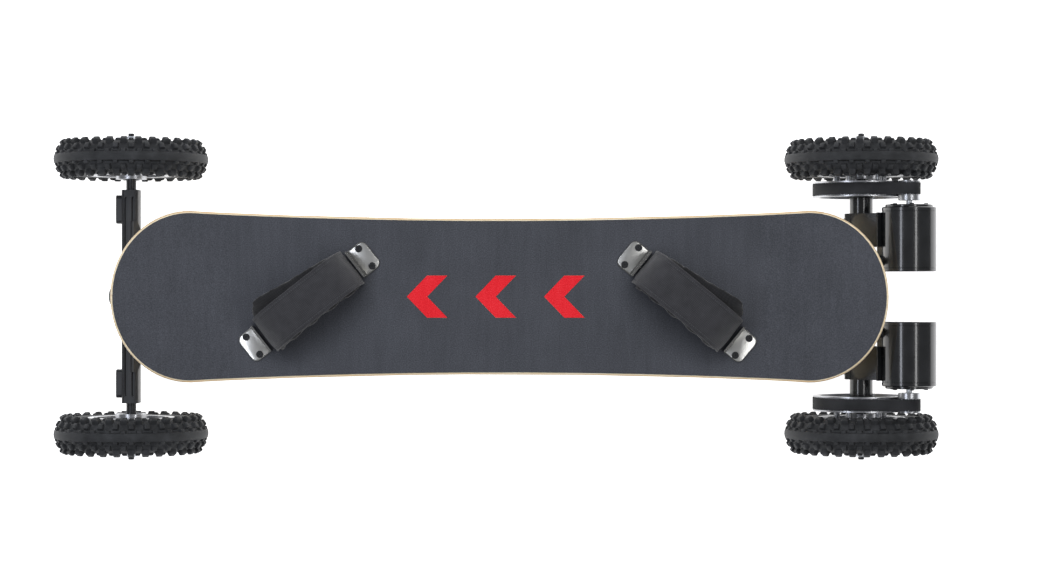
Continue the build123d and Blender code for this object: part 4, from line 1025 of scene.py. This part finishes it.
shape.free()

# %% Hanger sleeves
# the round ends of the rear hanger are spun for the same reason
_, hanger_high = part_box("rear_hanger")
rear_axle = middle_of("rear_axle")
sleeve = [(6.6, 0.0), (13.9, 0.0), (15.1, -1.2), (15.1, -32.0), (6.6, -32.0)]
for side, sign in SIDES:
    shape = lathe([(r * MM, y * MM) for r, y in sleeve], "Y", 96)
    bmesh.ops.recalc_face_normals(shape, faces=shape.faces)
    spot = Matrix.Translation((rear_axle.x, sign * (hanger_high.y + 0.2 * MM), rear_axle.z))
    mesh = as_mesh(shape, f"{side}_hanger_sleeve", spot @ Matrix.Diagonal((1, sign, 1, 1)))
    if sign < 0:
        mesh.flip_normals()
    finished(f"{side}_hanger_sleeve", mesh, enamel_black, None, "rear_truck")

# %% Screw heads on the motors and the brackets
SCREW_RING = 23 * MM


def screw_head(shape, matrix, radius, height):
    """A round button head with a recess, standing on its local XY plane."""
    before = set(shape.verts)
    bmesh.ops.create_cone(shape, cap_ends=True, segments=24, radius1=radius, radius2=radius * 0.86,
                          depth=height)
    made = [v for v in shape.verts if v not in before]
    top = max((f for v in made for f in v.link_faces), key=lambda f: f.calc_center_median().z)
    bmesh.ops.inset_region(shape, faces=[top], thickness=radius * 0.45)
    pressed = bmesh.ops.extrude_face_region(shape, geom=[top])
    floor_verts = [g for g in pressed["geom"] if isinstance(g, bmesh.types.BMVert)]
    bmesh.ops.translate(shape, vec=(0, 0, -height * 0.5), verts=floor_verts)
    bmesh.ops.delete(shape, geom=[top], context="FACES_ONLY")
    made = [v for v in shape.verts if v not in before]
    bmesh.ops.translate(shape, vec=(0, 0, height / 2), verts=made)
    bmesh.ops.transform(shape, matrix=matrix, verts=made)


shape = bmesh.new()
for sign in (-1, 1):
    for n in range(6):
        angle = math.tau * (n + 0.5) / 6
        spot = Vector((motor.x + SCREW_RING * math.cos(angle), sign * can_outer,
                       motor.z + SCREW_RING * math.sin(angle)))
        turn = Matrix.Rotation(math.radians(-90 * sign), 4, "X")
        screw_head(shape, Matrix.Translation(spot) @ turn, 2.8 * MM, 1.6 * MM)
bmesh.ops.recalc_face_normals(shape, faces=shape.faces)
mesh = as_mesh(shape, "motor_end_screws")
finished("motor_end_screws", mesh, black_oxide, None, "rear_truck")
for end in ENDS:
    shape = bmesh.new()
    for p in (-91.6, 91.6):
        for q in (-14, 14):
            screw_head(shape, Matrix.Translation((p * MM, q * MM, 2.4 * MM)), 5.0 * MM, 2.6 * MM)
    bmesh.ops.recalc_face_normals(shape, faces=shape.faces)
    mesh = as_mesh(shape, f"{end}_bracket_screw_heads", foot_matrix(end))
    finished(f"{end}_bracket_screw_heads", mesh, black_oxide, None, "board")

# %% [markdown]
# ## Last update
#

# %% Update the view layer
bpy.context.view_layer.update()
